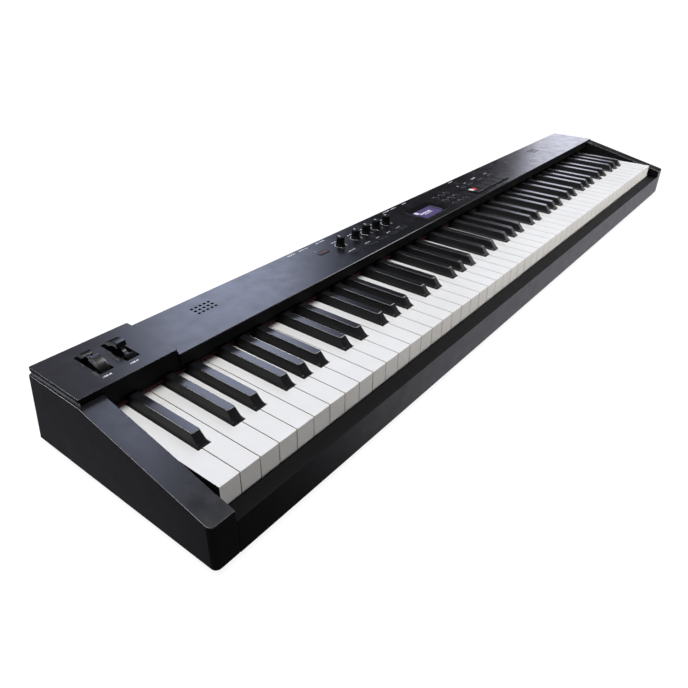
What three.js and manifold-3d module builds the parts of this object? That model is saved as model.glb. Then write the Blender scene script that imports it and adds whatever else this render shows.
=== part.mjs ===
// Stage piano with 88 keys, in millimetres. +X runs from bass to treble, +Y to the rear, +Z up.
// The origin is on the surface the feet stand on, under the middle of the case.
import * as THREE from "three";
import { mergeVertices } from "three/addons/utils/BufferGeometryUtils.js";
import Module from "manifold-3d";

const wasm = await Module();
wasm.setup();

// Fits that every piece shares
const seatGap = 0.3;
const cutOverrun = 1;
const weldTolerance = 0.0001;

// Case
const caseDepth = 267;
const shoulderRise = 85.4;
const noseRise = 48.8;
const rearLean = 18.5;
const endThickness = 26.5;
const endGap = 2.5;
const endEdge = 1;
const noseCornerRadius = 6;
const tailCornerRadius = 3;
const cornerSteps = 1;
const noseSteps = 3;

// Feet
const footHeight = 8;
const footRadius = 13;
const footBaseRadius = 11.5;
const footDish = 1.2;
const footDishRadius = 6;
const footInsetX = 80;
const footInsetY = 38;
const roundSteps = 16;

// Natural keys
const keyPitch = 23.5;
const naturalCount = 52;
const leadingNaturals = 2;
const octaveNaturals = 7;
const keySets = 7;
const keyGap = 1;
const keyRise = 58.2;
const keySetback = 21.4;
const keyDip = 10;
const naturalThickness = 16;
const naturalEase = 0.9;
const lipDrop = 24;
const lipThickness = 3.5;
const hingeSetback = 26.5;
const hingeRadius = 4;
const hingeDrop = 14.2;
const hingeSteps = 10;

// Sharp keys
const sharpRise = 12;
const sharpSetback = 47.6;
const sharpFootWidth = 13.6;
const sharpWaistWidth = 11;
const sharpTopWidth = 9.6;
const sharpFootRise = 1.2;
const sharpWaistRise = 3.6;
const sharpSlope = 9.2;
const sharpEdge = 0.9;
const sharpClearance = 0.8;
const sharpDepth = 12;
const sharpCapEnd = 5;
const sharpArmWidth = 8.6;
const sharpArmThickness = 6;
const sharpArmDrop = 2.2;
const sharpArmStart = 28;
const sharpHingeSetback = 13;
const sharpHingeRadius = 3.5;
const outerPairShift = 2.4;
const outerTrioShift = 3;

// Top panel and its folded front
const panelDepth = 83;
const panelThickness = 1.6;
const panelEdge = 0.6;
const panelInset = 2;
const panelOverhang = 1.8;
const panelRearInset = 0.5;
const fasciaClearance = 3.8;
const fasciaLipDepth = 10;

// Red felt behind the keys
const feltThickness = 3.4;
const feltSetback = 6.3;
const feltClearance = 1;

// Raised wheel plate at the bass end
const wheelPlateWidth = 108;
const wheelPlateRise = 5.8;
const wheelPlateWall = 2.2;
const wheelPlateStep = 1.2;
const wheelPlateStepHeight = 3;
const wheelSlotWidth = 15.5;
const wheelSlotLength = 44;

// Wheels
const wheelRadius = 22.5;
const wheelWidth = 12.5;
const wheelProud = 11.2;
const wheelFromLeft = 44.3;
const wheelPitch = 29;
const wheelFromRear = 41.2;
const wheelRim = 0.8;
const wheelSteps = 28;
const wheelNotchRadius = 6.5;
const wheelNotchDepth = 2.6;
const wheelNotchWidth = 10.5;
const wheelWebDepth = 3.5;
const wheelRimWidth = 5;
const wheelAxleRadius = 2.5;
const wheelAxleOverhang = 4.4;
const modulationNotchTurn = 24;

// Bracket that carries both wheels
const cheekGap = 1.5;
const cheekThickness = 2.5;
const cheekBelowAxle = 6;
const cheekFront = 8;
const bracketBarDepth = 4;
const bracketBarGap = 2;
const bracketBarHeight = 12;

// Front rail
const railRise = 36.9;
const railWall = 3;
const railEdge = 0.8;
const railLipWidth = 2.4;
const railRecess = 1.5;
const railKeyGap = 2;
const railRearDrop = 7;

// Rear panel
const rearWall = 2.2;
const rearLipDepth = 8;
const rearLipThickness = 2;

// Bottom chassis and key frame
const floorThickness = 3;
const floorRibHeight = 4;
const floorRibWidth = 5;
const floorRibEnd = 14;
const frameSheet = 1.6;
const frameFrontSetback = 7;
const stopSetback = 20;
const stopWidth = 4;
const stopGap = 0.5;
const ledgeDepth = 8;

// Rotary knobs
const knobHeight = 12;
const knobLift = 0.7;
const knobSkirtRadius = 6.4;
const knobSkirtHeight = 1.6;
const knobWaistRadius = 5.4;
const knobTopRadius = 5;
const knobEdge = 0.6;
const knobShaftRadius = 3;
const knobShaftClearance = 0.6;
const knobRibs = 8;
const knobRibWidth = 0.8;
const knobRibDepth = 0.35;
const knobRowY = 48.7;
const volumeKnobX = -211.5;
const firstKnobX = -177;
const controlPitch = 25;
const toneKnobs = 4;
const potWidth = 9.5;
const potHeight = 6.4;

// Push buttons
const buttonTravel = 0.8;
const buttonProud = 1;
const buttonEdge = 0.5;
const buttonRoundShare = 0.25;
const buttonFlange = 1.3;
const buttonFlangeThickness = 1.2;
const buttonStemWidth = 3;
const buttonStemLength = 7;
const buttonCutClearance = 0.4;
const pillLength = 17;
const pillDepth = 6.6;
const pillRowY = 20.3;
const pillButtons = 4;
const leftButtonX = -245.5;
const leftButtonLength = 18;
const leftButtonDepth = 6.4;
const leftButtonY = 50.8;
const volumeButtonX = -213.2;
const voiceButtons = 5;
const voicePitch = 24.5;
const voiceFirstX = 128.5;
const voiceLength = 21.5;
const voiceDepth = 15.5;
const voiceRowY = 20.2;
const voiceProud = 2.2;
const modeLength = 17;
const modeDepth = 5.2;
const modeRowY = 46.8;
const modeThirdShift = 12;
const padFirstX = 51;
const padPitchX = 17;
const padPitchY = 19;
const padFrontY = 13.5;
const padRadius = 3.3;
const padCount = 3;
const padWebWidth = 5;
const switchWidth = 4;
const switchHeight = 1.6;

// Display
const lensLeft = -46;
const lensWidth = 67.5;
const lensDepth = 43.5;
const lensFromFront = 10.8;
const lensProud = 0.4;
const lensFlange = 1.6;
const lensFlangeThickness = 1.2;
const lensCorner = 1.5;
const displayWidth = 50;
const displayDepth = 31;
const displayFromLeft = 1;
const displayFromFront = 0.7;
const displayWindowWidth = 47;
const displayWindowDepth = 28;
const displayWindowRecess = 0.8;

// Circuit board under the panel
const boardThickness = 1.6;
const boardDrop = 12.1;
const boardFrontMargin = 13;
const boardRearMargin = 10;
const boardMargin = 22.5;
const postRadius = 3;
const postShares = [0.0115, 0.333, 0.573, 0.727, 0.9885];
const postFromFront = 35;

// Speakers and their grilles
const speakerX = 450;
const speakerFromRear = 36.5;
const speakerRadius = 28;
const speakerFlange = 1.7;
const speakerBasketRadius = 25;
const speakerThroatRadius = 14;
const speakerBasketDepth = 12;
const speakerMagnetRadius = 15.5;
const speakerMagnetDepth = 7;
const speakerConeRadius = 22;
const speakerConeDepth = 6;
const grilleHole = 3.6;
const grillePitchX = 6;
const grillePitchY = 6.6;
const grilleColumns = 5;
const grilleRows = 3;
const grilleFromRear = 28;

// Rear connectors, each with its place along the case
const jackBoardFront = 2.5;
const jackBoardBottom = 10;
const jackBoardHeight = 32;
const jackBoardMargin = 14;
const jackCentreRise = 24;
const jackProud = 0.6;
const jackBoreDepth = 11;
const jackClearance = 0.4;
const phoneBody = 14;
const phoneBore = 3.5;
const powerBody = 12;
const powerBore = 3.2;
const squareBody = 14;
const squareBore = 8.6;
const slotBodyWidth = 17;
const slotBodyHeight = 9.5;
const slotBoreWidth = 12.6;
const slotBoreHeight = 5.4;
const powerInletX = -281;
const squareSocketX = -256;
const slotSocketX = -221;
const pedalJackX = [-66, -41, -16];
const outputJackX = [128, 153];

// Power button in the rear panel
const powerButtonX = -310;
const powerButtonRadius = 5;
const powerButtonProud = 2.6;
const powerButtonTravel = 2;
const powerFlangeRadius = 6.6;
const powerFlangeDepth = 2;
const powerStemDepth = 8;
const powerSwitchWidth = 13;

// Worked-out places
const keySpan = naturalCount * keyPitch;
const keyLeft = -keySpan / 2;
const innerX = keySpan / 2 + endGap;
const halfWidth = innerX + endThickness;
const frontY = -caseDepth / 2;
const rearY = caseDepth / 2;
const caseBottom = footHeight;
const shoulderZ = caseBottom + shoulderRise;
const noseZ = caseBottom + noseRise;
const keyTop = caseBottom + keyRise;
const keyFrontY = frontY + keySetback;
const panelRearY = rearY - rearLean - panelRearInset;
const panelFrontY = panelRearY - panelDepth;
const panelBottom = shoulderZ + seatGap;
const panelTop = panelBottom + panelThickness;
const sharpTop = keyTop + sharpRise;
const fasciaBottom = sharpTop + fasciaClearance;
const plateTop = panelTop + wheelPlateRise;
const seamX = -halfWidth + panelInset + wheelPlateWidth;
const hingeY = panelRearY - hingeSetback;
const hingeZ = keyTop - hingeDrop;
const stopY = keyFrontY + stopSetback + stopWidth / 2;
const sharpHingeY = hingeY + sharpHingeSetback;
const sharpHingeZ = keyTop - sharpArmDrop - sharpArmThickness / 2;
const keyAngle = Math.atan(keyDip / (hingeY - keyFrontY));
const boardTop = panelBottom - boardDrop;
const boardY = [panelFrontY + boardFrontMargin, panelRearY - boardRearMargin];
const boardLeft = leftButtonX - boardMargin;
const boardRight = voiceFirstX + (voiceButtons - 1) * voicePitch + boardMargin;
const wheelY = panelRearY - wheelFromRear;
const wheelZ = plateTop + wheelProud - wheelRadius;
const railTop = caseBottom + railRise;
const floorTop = caseBottom + floorThickness;
const frameBottom = floorTop + floorRibHeight + seatGap;
const frameTop = frameBottom + frameSheet;
const jackZ = caseBottom + jackCentreRise;
const powerStemEnd = rearFaceY(jackZ) - rearWall - powerStemDepth;

// Finishes
function finish(color, roughness, metalness) {
  return new THREE.MeshStandardMaterial({ color, roughness, metalness });
}
const caseFinish = finish(0x1b1b1f, 0.5, 0);
const panelFinish = finish(0x23242a, 0.42, 0.3);
const naturalFinish = finish(0xe9e7e3, 0.28, 0);
const sharpFinish = finish(0x141416, 0.45, 0);
const feltFinish = finish(0x5a0d16, 0.95, 0);
const controlFinish = finish(0x101012, 0.4, 0);
const voiceFinish = finish(0x2a2c2e, 0.45, 0);
const glossFinish = finish(0x08080b, 0.08, 0);
const displayFinish = finish(0x4a3a78, 0.3, 0);
const boardFinish = finish(0x1f4a2c, 0.6, 0);
const steelFinish = finish(0x8d9094, 0.4, 0.9);
const rubberFinish = finish(0x17171a, 0.85, 0);

// Shapes
function toSolid(geometry) {
  const bare = geometry.clone();
  bare.deleteAttribute("normal");
  bare.deleteAttribute("uv");
  const merged = mergeVertices(bare, weldTolerance);
  const corners = Array.from(merged.index.array);
  const faces = [];
  for (let i = 0; i < corners.length; i += 3) {
    const [a, b, c] = corners.slice(i, i + 3);
    if (a !== b && b !== c && c !== a) faces.push(a, b, c);
  }
  const vertProperties = new Float32Array(merged.attributes.position.array);
  const triVerts = new Uint32Array(faces);
  return new wasm.Manifold(new wasm.Mesh({ numProp: 3, vertProperties, triVerts }));
}

function toGeometry(solid) {
  const mesh = solid.getMesh();
  const geometry = new THREE.BufferGeometry();
  geometry.setAttribute("position", new THREE.BufferAttribute(new Float32Array(mesh.vertProperties), 3));
  geometry.setIndex(new THREE.BufferAttribute(new Uint32Array(mesh.triVerts), 1));
  geometry.computeVertexNormals();
  return geometry;
}

function box([x0, x1], [y0, y1], [z0, z1]) {
  const geometry = new THREE.BoxGeometry(x1 - x0, y1 - y0, z1 - z0);
  geometry.translate((x0 + x1) / 2, (y0 + y1) / 2, (z0 + z1) / 2);
  return toSolid(geometry);
}

function around(centre, size) {
  return [centre - size / 2, centre + size / 2];
}

function outlineShape(points) {
  return new THREE.Shape(points.map(([u, v]) => new THREE.Vector2(u, v)));
}

function extrude(shape, length, edge = 0, steps = cornerSteps) {
  return new THREE.ExtrudeGeometry(shape, {
    depth: length - 2 * edge,
    curveSegments: steps,
    bevelEnabled: edge > 0,
    bevelThickness: edge,
    bevelSize: edge,
    bevelOffset: -edge,
    bevelSegments: 1,
  }).translate(0, 0, edge);
}

// A side outline of [y, z] points, carried along X
function prismX(points, [x0, x1], edge = 0) {
  const geometry = extrude(outlineShape(points), x1 - x0, edge);
  const toY = new THREE.Vector3(0, 1, 0);
  const toZ = new THREE.Vector3(0, 0, 1);
  const toX = new THREE.Vector3(1, 0, 0);
  geometry.applyMatrix4(new THREE.Matrix4().makeBasis(toY, toZ, toX));
  return toSolid(geometry.translate(x0, 0, 0));
}

// A front outline of [x, z] points, carried along Y
function prismY(points, [y0, y1]) {
  const geometry = extrude(outlineShape(points), y1 - y0);
  return toSolid(geometry.rotateX(Math.PI / 2).translate(0, y1, 0));
}

// A plan shape, carried along Z
function prismZ(shape, [z0, z1], edge = 0, steps = cornerSteps) {
  return toSolid(extrude(shape, z1 - z0, edge, steps).translate(0, 0, z0));
}

function roundedRect([x0, x1], [y0, y1], radius) {
  const shape = new THREE.Shape();
  shape.moveTo(x0 + radius, y0);
  shape.lineTo(x1 - radius, y0);
  shape.absarc(x1 - radius, y0 + radius, radius, -Math.PI / 2, 0);
  shape.lineTo(x1, y1 - radius);
  shape.absarc(x1 - radius, y1 - radius, radius, 0, Math.PI / 2);
  shape.lineTo(x0 + radius, y1);
  shape.absarc(x0 + radius, y1 - radius, radius, Math.PI / 2, Math.PI);
  shape.lineTo(x0, y0 + radius);
  shape.absarc(x0 + radius, y0 + radius, radius, Math.PI, 1.5 * Math.PI);
  return shape;
}

// A profile of [radius, height] points from the axis round to the axis, turned about Z
function turned(profile, steps = roundSteps) {
  const points = profile.map(([r, z]) => new THREE.Vector2(r, z));
  return toSolid(new THREE.LatheGeometry(points, steps).rotateX(Math.PI / 2));
}

function rodX(radius, [x0, x1], y, z, steps) {
  const geometry = new THREE.CylinderGeometry(radius, radius, x1 - x0, steps);
  return toSolid(geometry.rotateZ(Math.PI / 2).translate((x0 + x1) / 2, y, z));
}

function rodY(radius, [y0, y1], x, z, steps) {
  const geometry = new THREE.CylinderGeometry(radius, radius, y1 - y0, steps);
  return toSolid(geometry.translate(x, (y0 + y1) / 2, z));
}

function rodZ(radius, [z0, z1], x, y, steps) {
  const geometry = new THREE.CylinderGeometry(radius, radius, z1 - z0, steps);
  return toSolid(geometry.rotateX(Math.PI / 2).translate(x, y, (z0 + z1) / 2));
}

function join(solids) {
  return solids.reduce((whole, next) => whole.add(next));
}

function cutAway(solid, cuts) {
  return cuts.reduce((left, cut) => left.subtract(cut), solid);
}

// Outer face of the leaning rear, at a height
function rearFaceY(z) {
  return rearY - (rearLean * (z - caseBottom)) / shoulderRise;
}

// Everything in front of the leaning rear, moved out by an offset
function insideRear(offset, xs) {
  const low = caseBottom - cutOverrun;
  const high = shoulderZ + cutOverrun;
  const corners = [
    [0, low],
    [rearFaceY(low) + offset, low],
    [rearFaceY(high) + offset, high],
    [0, high],
  ];
  return prismX(corners, xs);
}

// Assembly
const piano = new THREE.Group();

function place(name, solid, material, at = [0, 0, 0]) {
  const mesh = new THREE.Mesh(toGeometry(solid), material);
  mesh.name = name;
  mesh.position.set(...at);
  piano.add(mesh);
}

// End blocks: side outline with eased edges, trimmed to a plan with rounded outer corners
function endBlock(side) {
  const outline = [
    [frontY, caseBottom],
    [rearY, caseBottom],
    [rearFaceY(shoulderZ), shoulderZ],
    [panelFrontY, shoulderZ],
    [frontY, noseZ],
  ];
  const outer = side * halfWidth;
  const inner = side * innerX;
  const inside = side * (innerX - cutOverrun - endEdge);
  const blank = prismX(outline, [Math.min(outer, inside), Math.max(outer, inside)], endEdge);
  const plan = new THREE.Shape();
  const nose = noseCornerRadius;
  const tail = tailCornerRadius;
  plan.moveTo(inner, frontY);
  plan.lineTo(outer - side * nose, frontY);
  plan.absarc(outer - side * nose, frontY + nose, nose, -Math.PI / 2, side > 0 ? 0 : Math.PI, side < 0);
  plan.lineTo(outer, rearY - tail);
  plan.absarc(outer - side * tail, rearY - tail, tail, side > 0 ? 0 : Math.PI, Math.PI / 2, side < 0);
  plan.lineTo(inner, rearY);
  return blank.intersect(prismZ(plan, [caseBottom - cutOverrun, shoulderZ + cutOverrun], 0, noseSteps));
}
place("left_end_block", endBlock(-1), caseFinish);
place("right_end_block", endBlock(1), caseFinish);

const betweenEnds = [-innerX + seatGap, innerX - seatGap];

// Floor plate with two ribs that carry the key frame
function bottomChassis() {
  const floor = box(
    betweenEnds,
    [frontY + railWall + seatGap, rearFaceY(floorTop) - rearWall - seatGap],
    [caseBottom, floorTop],
  );
  const ribX = [-innerX + floorRibEnd, innerX - floorRibEnd];
  const ribZ = [floorTop - floorThickness / 2, floorTop + floorRibHeight];
  const ribs = [stopY, hingeY].map((y) => box(ribX, around(y, floorRibWidth), ribZ));
  return join([floor, ...ribs]);
}
place("bottom_chassis", bottomChassis(), caseFinish);

// Rubber feet
const foot = turned([
  [0, footDish],
  [footDishRadius, footDish],
  [footDishRadius + footDish, 0],
  [footBaseRadius, 0],
  [footRadius, footHeight - seatGap],
  [0, footHeight - seatGap],
]);
const footX = halfWidth - footInsetX;
const footY = rearY - footInsetY;
[[-footX, -footY], [footX, -footY], [-footX, footY], [footX, footY]].forEach(([x, y], i) => {
  place(`foot_${i + 1}`, foot, rubberFinish, [x, y, 0]);
});

// Front rail: a channel with a raised lip and a sunk ledge up to the keys
function frontRail() {
  const ledgeTop = railTop - railRecess;
  const ledgeRear = keyFrontY - railKeyGap;
  const outline = [
    [frontY, caseBottom],
    [frontY + railWall, caseBottom],
    [frontY + railWall, ledgeTop - railWall],
    [ledgeRear - railWall, ledgeTop - railWall],
    [ledgeRear - railWall, ledgeTop - railRearDrop],
    [ledgeRear, ledgeTop - railRearDrop],
    [ledgeRear, ledgeTop],
    [frontY + railLipWidth, ledgeTop],
    [frontY + railLipWidth, railTop],
    [frontY + railEdge, railTop],
    [frontY, railTop - railEdge],
  ];
  return prismX(outline, betweenEnds);
}
place("front_rail", frontRail(), caseFinish);

// Connectors: body size, bore size and whether the bore is round
const connectors = [
  { x: powerInletX, body: [powerBody, powerBody], radius: powerBore },
  { x: squareSocketX, body: [squareBody, squareBody], bore: [squareBore, squareBore] },
  { x: slotSocketX, body: [slotBodyWidth, slotBodyHeight], bore: [slotBoreWidth, slotBoreHeight] },
  ...[...pedalJackX, ...outputJackX].map((x) => ({ x, body: [phoneBody, phoneBody], radius: phoneBore })),
];

// Rear panel: a leaning sheet with a folded top, cut for the connectors and the power button
function rearPanel() {
  const lipBottom = shoulderZ - rearLipThickness;
  const outline = [
    [rearY - rearWall, caseBottom],
    [rearY, caseBottom],
    [rearFaceY(shoulderZ), shoulderZ],
    [rearFaceY(shoulderZ) - rearLipDepth, shoulderZ],
    [rearFaceY(shoulderZ) - rearLipDepth, lipBottom],
    [rearFaceY(lipBottom) - rearWall, lipBottom],
  ];
  const through = [rearFaceY(shoulderZ) - cutOverrun, rearY + cutOverrun];
  const cuts = connectors.map(({ x, body }) => {
    const [width, height] = body.map((size) => size + 2 * jackClearance);
    return box(around(x, width), through, around(jackZ, height));
  });
  const buttonHole = rodY(powerButtonRadius + jackClearance, through, powerButtonX, jackZ, roundSteps);
  return cutAway(prismX(outline, betweenEnds), [...cuts, buttonHole]);
}
place("rear_panel", rearPanel(), caseFinish);

// Upright board behind the rear panel, with every connector on it
function jackBoard() {
  const y0 = sharpHingeY + ledgeDepth / 2 + seatGap + jackBoardFront;
  const y1 = y0 + boardThickness;
  const z0 = caseBottom + jackBoardBottom;
  const right = outputJackX[outputJackX.length - 1] + jackBoardMargin;
  const left = powerButtonX - jackBoardMargin;
  const board = box([left, right], [y0, y1], [z0, z0 + jackBoardHeight]);
  const envelope = insideRear(jackProud, [left, right]);
  const housings = connectors.map(({ x, body }) => {
    const ys = [y0, rearY + cutOverrun];
    return box(around(x, body[0]), ys, around(jackZ, body[1])).intersect(envelope);
  });
  const bores = connectors.map(({ x, bore, radius }) => {
    const ys = [rearFaceY(jackZ) - jackBoreDepth, rearY + cutOverrun];
    if (radius) return rodY(radius, ys, x, jackZ, roundSteps);
    return box(around(x, bore[0]), ys, around(jackZ, bore[1]));
  });
  const switchEnd = powerStemEnd - powerButtonTravel - seatGap;
  const powerSwitch = box(
    around(powerButtonX, powerSwitchWidth),
    [y0, switchEnd],
    around(jackZ, powerSwitchWidth),
  );
  return cutAway(join([board, ...housings, powerSwitch]), bores);
}
place("jack_board", jackBoard(), boardFinish);

// Power button: a round cap with a collar that the rear panel holds in
function powerButton() {
  const out = [powerStemEnd, rearFaceY(jackZ) + powerButtonProud];
  const cap = rodY(powerButtonRadius, out, powerButtonX, jackZ, roundSteps);
  const ys = [rearFaceY(jackZ) - rearWall - powerFlangeDepth - seatGap, rearY];
  const collar = rodY(powerFlangeRadius, ys, powerButtonX, jackZ, roundSteps);
  const width = 2 * powerFlangeRadius + cutOverrun;
  const behindPanel = insideRear(-rearWall - seatGap, around(powerButtonX, width));
  return cap.add(collar.intersect(behindPanel));
}
place("power_button", powerButton(), controlFinish);

// Key frame: one folded section with a stop at the front and two hinge ledges at the rear
function keyFrame() {
  const xs = [keyLeft, -keyLeft];
  const lowLedge = hingeZ - hingeRadius - seatGap;
  const highLedge = sharpHingeZ - sharpHingeRadius - seatGap;
  const stepY = sharpHingeY - ledgeDepth / 2 - frameSheet;
  const backY = sharpHingeY + ledgeDepth / 2;
  const stopTop = keyTop - naturalThickness - (hingeY - stopY) * Math.tan(keyAngle) - stopGap;
  const baseFront = keyFrontY + frameFrontSetback;
  const base = box(xs, [baseFront, backY], [frameBottom, frameTop]);
  const stop = box(xs, around(stopY, stopWidth), [frameBottom, stopTop]);
  const rear = [
    [hingeY - ledgeDepth / 2, frameBottom],
    [hingeY - ledgeDepth / 2 + frameSheet, frameBottom],
    [hingeY - ledgeDepth / 2 + frameSheet, lowLedge - frameSheet],
    [stepY + frameSheet, lowLedge - frameSheet],
    [stepY + frameSheet, highLedge - frameSheet],
    [backY - frameSheet, highLedge - frameSheet],
    [backY - frameSheet, frameBottom],
    [backY, frameBottom],
    [backY, highLedge],
    [stepY, highLedge],
    [stepY, lowLedge],
    [hingeY - ledgeDepth / 2, lowLedge],
  ];
  return join([base, stop, prismX(rear, xs)]);
}
place("key_frame", keyFrame(), steelFinish);

// Where the keys lie. Note 0 is C, and each sharp stands near the edge after its natural.
const sharpShifts = { 0: -outerPairShift, 1: outerPairShift, 3: -outerTrioShift, 4: 0, 5: outerTrioShift };

function keyEdge(natural) {
  return keyLeft + natural * keyPitch;
}

function noteOf(natural) {
  return (natural - leadingNaturals + octaveNaturals * keySets) % octaveNaturals;
}

function sharpCentre(natural) {
  if (natural < 0 || natural > naturalCount - 2) return null;
  const shift = sharpShifts[noteOf(natural)];
  return shift === undefined ? null : keyEdge(natural + 1) + shift;
}

function setOf(natural) {
  const octave = Math.floor((natural - leadingNaturals) / octaveNaturals);
  return Math.min(Math.max(octave, 0), keySets - 1);
}

// One natural: side outline with a deep front lip, notched where the sharps pass
function naturalKey(natural) {
  const left = keyEdge(natural) + keyGap / 2;
  const right = keyEdge(natural + 1) - keyGap / 2;
  const underside = keyTop - naturalThickness;
  const outline = [
    [keyFrontY, keyTop - lipDrop],
    [keyFrontY + lipThickness, keyTop - lipDrop],
    [keyFrontY + lipThickness, underside],
    [hingeY, underside],
    [hingeY, keyTop],
    [keyFrontY + naturalEase, keyTop],
    [keyFrontY, keyTop - naturalEase],
  ];
  const half = sharpFootWidth / 2 + sharpClearance;
  const notchY = [keyFrontY + sharpSetback - sharpClearance, hingeY + cutOverrun];
  const notchZ = [underside - cutOverrun, keyTop + cutOverrun];
  const notches = [sharpCentre(natural - 1), sharpCentre(natural)]
    .filter((centre) => centre !== null)
    .map((centre) => box([centre - half, centre + half], notchY, notchZ));
  return cutAway(prismX(outline, [left, right]), notches);
}

// One sharp: side outline crossed with a flared end outline, on a slim arm back to its hinge
function sharpKey(centre) {
  const front = keyFrontY + sharpSetback;
  const capEnd = panelFrontY + sharpCapEnd;
  const bottom = keyTop - sharpDepth;
  const side = [
    [front, bottom],
    [panelFrontY + sharpArmStart, bottom],
    [panelFrontY + sharpArmStart, keyTop - sharpArmDrop],
    [capEnd, keyTop - sharpArmDrop],
    [capEnd, sharpTop],
    [front + sharpSlope, sharpTop],
    [front, keyTop],
  ];
  const halves = [
    [sharpFootWidth / 2, bottom],
    [sharpFootWidth / 2, keyTop + sharpFootRise],
    [sharpWaistWidth / 2, keyTop + sharpWaistRise],
    [sharpTopWidth / 2, sharpTop - sharpEdge],
    [sharpTopWidth / 2 - sharpEdge, sharpTop],
  ];
  const rightSide = halves.map(([half, z]) => [centre + half, z]);
  const leftSide = halves.map(([half, z]) => [centre - half, z]).reverse();
  const width = around(centre, sharpFootWidth);
  const cap = prismX(side, width).intersect(prismY([...rightSide, ...leftSide], [front, hingeY]));
  const armZ = [sharpHingeZ - sharpArmThickness / 2, sharpHingeZ + sharpArmThickness / 2];
  return cap.add(box(around(centre, sharpArmWidth), [capEnd - cutOverrun, sharpHingeY], armZ));
}

// Each octave is a comb of naturals and a comb of sharps, joined by their hinge bars
for (let set = 0; set < keySets; set += 1) {
  const members = [...Array(naturalCount).keys()].filter((natural) => setOf(natural) === set);
  const first = members[0];
  const last = members[members.length - 1];
  const barX = [keyEdge(first) + keyGap / 2, keyEdge(last + 1) - keyGap / 2];
  const bar = rodX(hingeRadius, barX, hingeY, hingeZ, hingeSteps);
  const naturals = join([bar, ...members.map(naturalKey)]);
  place(`naturals_${set + 1}`, naturals.translate(0, -hingeY, -hingeZ), naturalFinish, [0, hingeY, hingeZ]);

  const centres = members.map(sharpCentre).filter((centre) => centre !== null);
  const half = sharpArmWidth / 2;
  const sharpBarX = [centres[0] - half, centres[centres.length - 1] + half];
  const sharpBar = rodX(sharpHingeRadius, sharpBarX, sharpHingeY, sharpHingeZ, hingeSteps);
  const sharps = join([sharpBar, ...centres.map(sharpKey)]);
  const at = [0, sharpHingeY, sharpHingeZ];
  place(`sharps_${set + 1}`, sharps.translate(0, -sharpHingeY, -sharpHingeZ), sharpFinish, at);
}

// Felt strip under the fascia, just clear of the key tops
const feltFront = panelFrontY + feltSetback;
const felt = box(
  [keyLeft, -keyLeft],
  [feltFront, feltFront + feltThickness],
  [keyTop + feltClearance, fasciaBottom - seatGap],
);
place("key_felt", felt, feltFinish);

// Buttons: each stands in its cut-out, with a flange below the sheet and a stem to its switch
const buttons = [
  { name: "left_button", x: leftButtonX, y: leftButtonY, length: leftButtonLength, depth: leftButtonDepth },
  { name: "volume_button", x: volumeButtonX, y: pillRowY, length: pillLength, depth: pillDepth },
];
for (let i = 0; i < pillButtons; i += 1) {
  const x = firstKnobX + i * controlPitch;
  buttons.push({ name: `effect_button_${i + 1}`, x, y: pillRowY, length: pillLength, depth: pillDepth });
}
for (let i = 0; i < voiceButtons; i += 1) {
  const x = voiceFirstX + i * voicePitch;
  const voice = { name: `voice_button_${i + 1}`, x, y: voiceRowY, length: voiceLength, depth: voiceDepth };
  buttons.push({ ...voice, proud: voiceProud, material: voiceFinish });
}
[0, voicePitch, 2 * voicePitch + modeThirdShift, 4 * voicePitch].forEach((shift, i) => {
  const x = voiceFirstX + shift;
  buttons.push({ name: `mode_button_${i + 1}`, x, y: modeRowY, length: modeLength, depth: modeDepth });
});

const flangeTop = panelBottom - seatGap;
const stemBottom = flangeTop - buttonStemLength;

function buttonPlan({ x, y, length, depth }, grow) {
  const radius = Math.min(length, depth) * buttonRoundShare + grow;
  return roundedRect(around(x, length + 2 * grow), around(panelFrontY + y, depth + 2 * grow), radius);
}

function buttonSolid(button) {
  const top = panelTop + (button.proud ?? buttonProud);
  const cap = prismZ(buttonPlan(button, 0), [flangeTop - buttonFlangeThickness, top], buttonEdge);
  const y = panelFrontY + button.y;
  const flangeX = around(button.x, button.length + 2 * buttonFlange);
  const flangeY = around(y, button.depth + 2 * buttonFlange);
  const flange = box(flangeX, flangeY, [flangeTop - buttonFlangeThickness, flangeTop]);
  const stem = box(around(button.x, buttonStemWidth), around(y, buttonStemWidth), [stemBottom, flangeTop]);
  return join([cap, flange, stem]);
}
buttons.forEach((button) => place(button.name, buttonSolid(button), button.material ?? controlFinish));

// Round pads: three to a row, moulded on one web
const padX = [...Array(padCount).keys()].map((i) => padFirstX + i * padPitchX);
const padY = [...Array(padCount).keys()].map((i) => panelFrontY + padFrontY + i * padPitchY);

function padRow(y) {
  const webZ = [flangeTop - buttonFlangeThickness, flangeTop];
  const webX = [padX[0] - padRadius, padX[padCount - 1] + padRadius];
  const web = box(webX, around(y, padWebWidth), webZ);
  const caps = padX.map((x) => rodZ(padRadius, [webZ[0], panelTop + buttonProud], x, y, roundSteps));
  const stemY = around(y, buttonStemWidth);
  const stems = padX.map((x) => box(around(x, buttonStemWidth), stemY, [stemBottom, webZ[1]]));
  return join([web, ...caps, ...stems]);
}
padY.forEach((y, i) => place(`pad_row_${i + 1}`, padRow(y), controlFinish));

// Knobs: a turned body with a skirt, grip flutes and a shaft down to its control
const knobs = [{ name: "volume_knob", x: volumeKnobX }];
for (let i = 0; i < toneKnobs; i += 1) {
  knobs.push({ name: `effect_knob_${i + 1}`, x: firstKnobX + i * controlPitch });
}
const knobY = panelFrontY + knobRowY;
const potTop = boardTop + potHeight;
const knobBottom = panelTop + knobLift;

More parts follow.
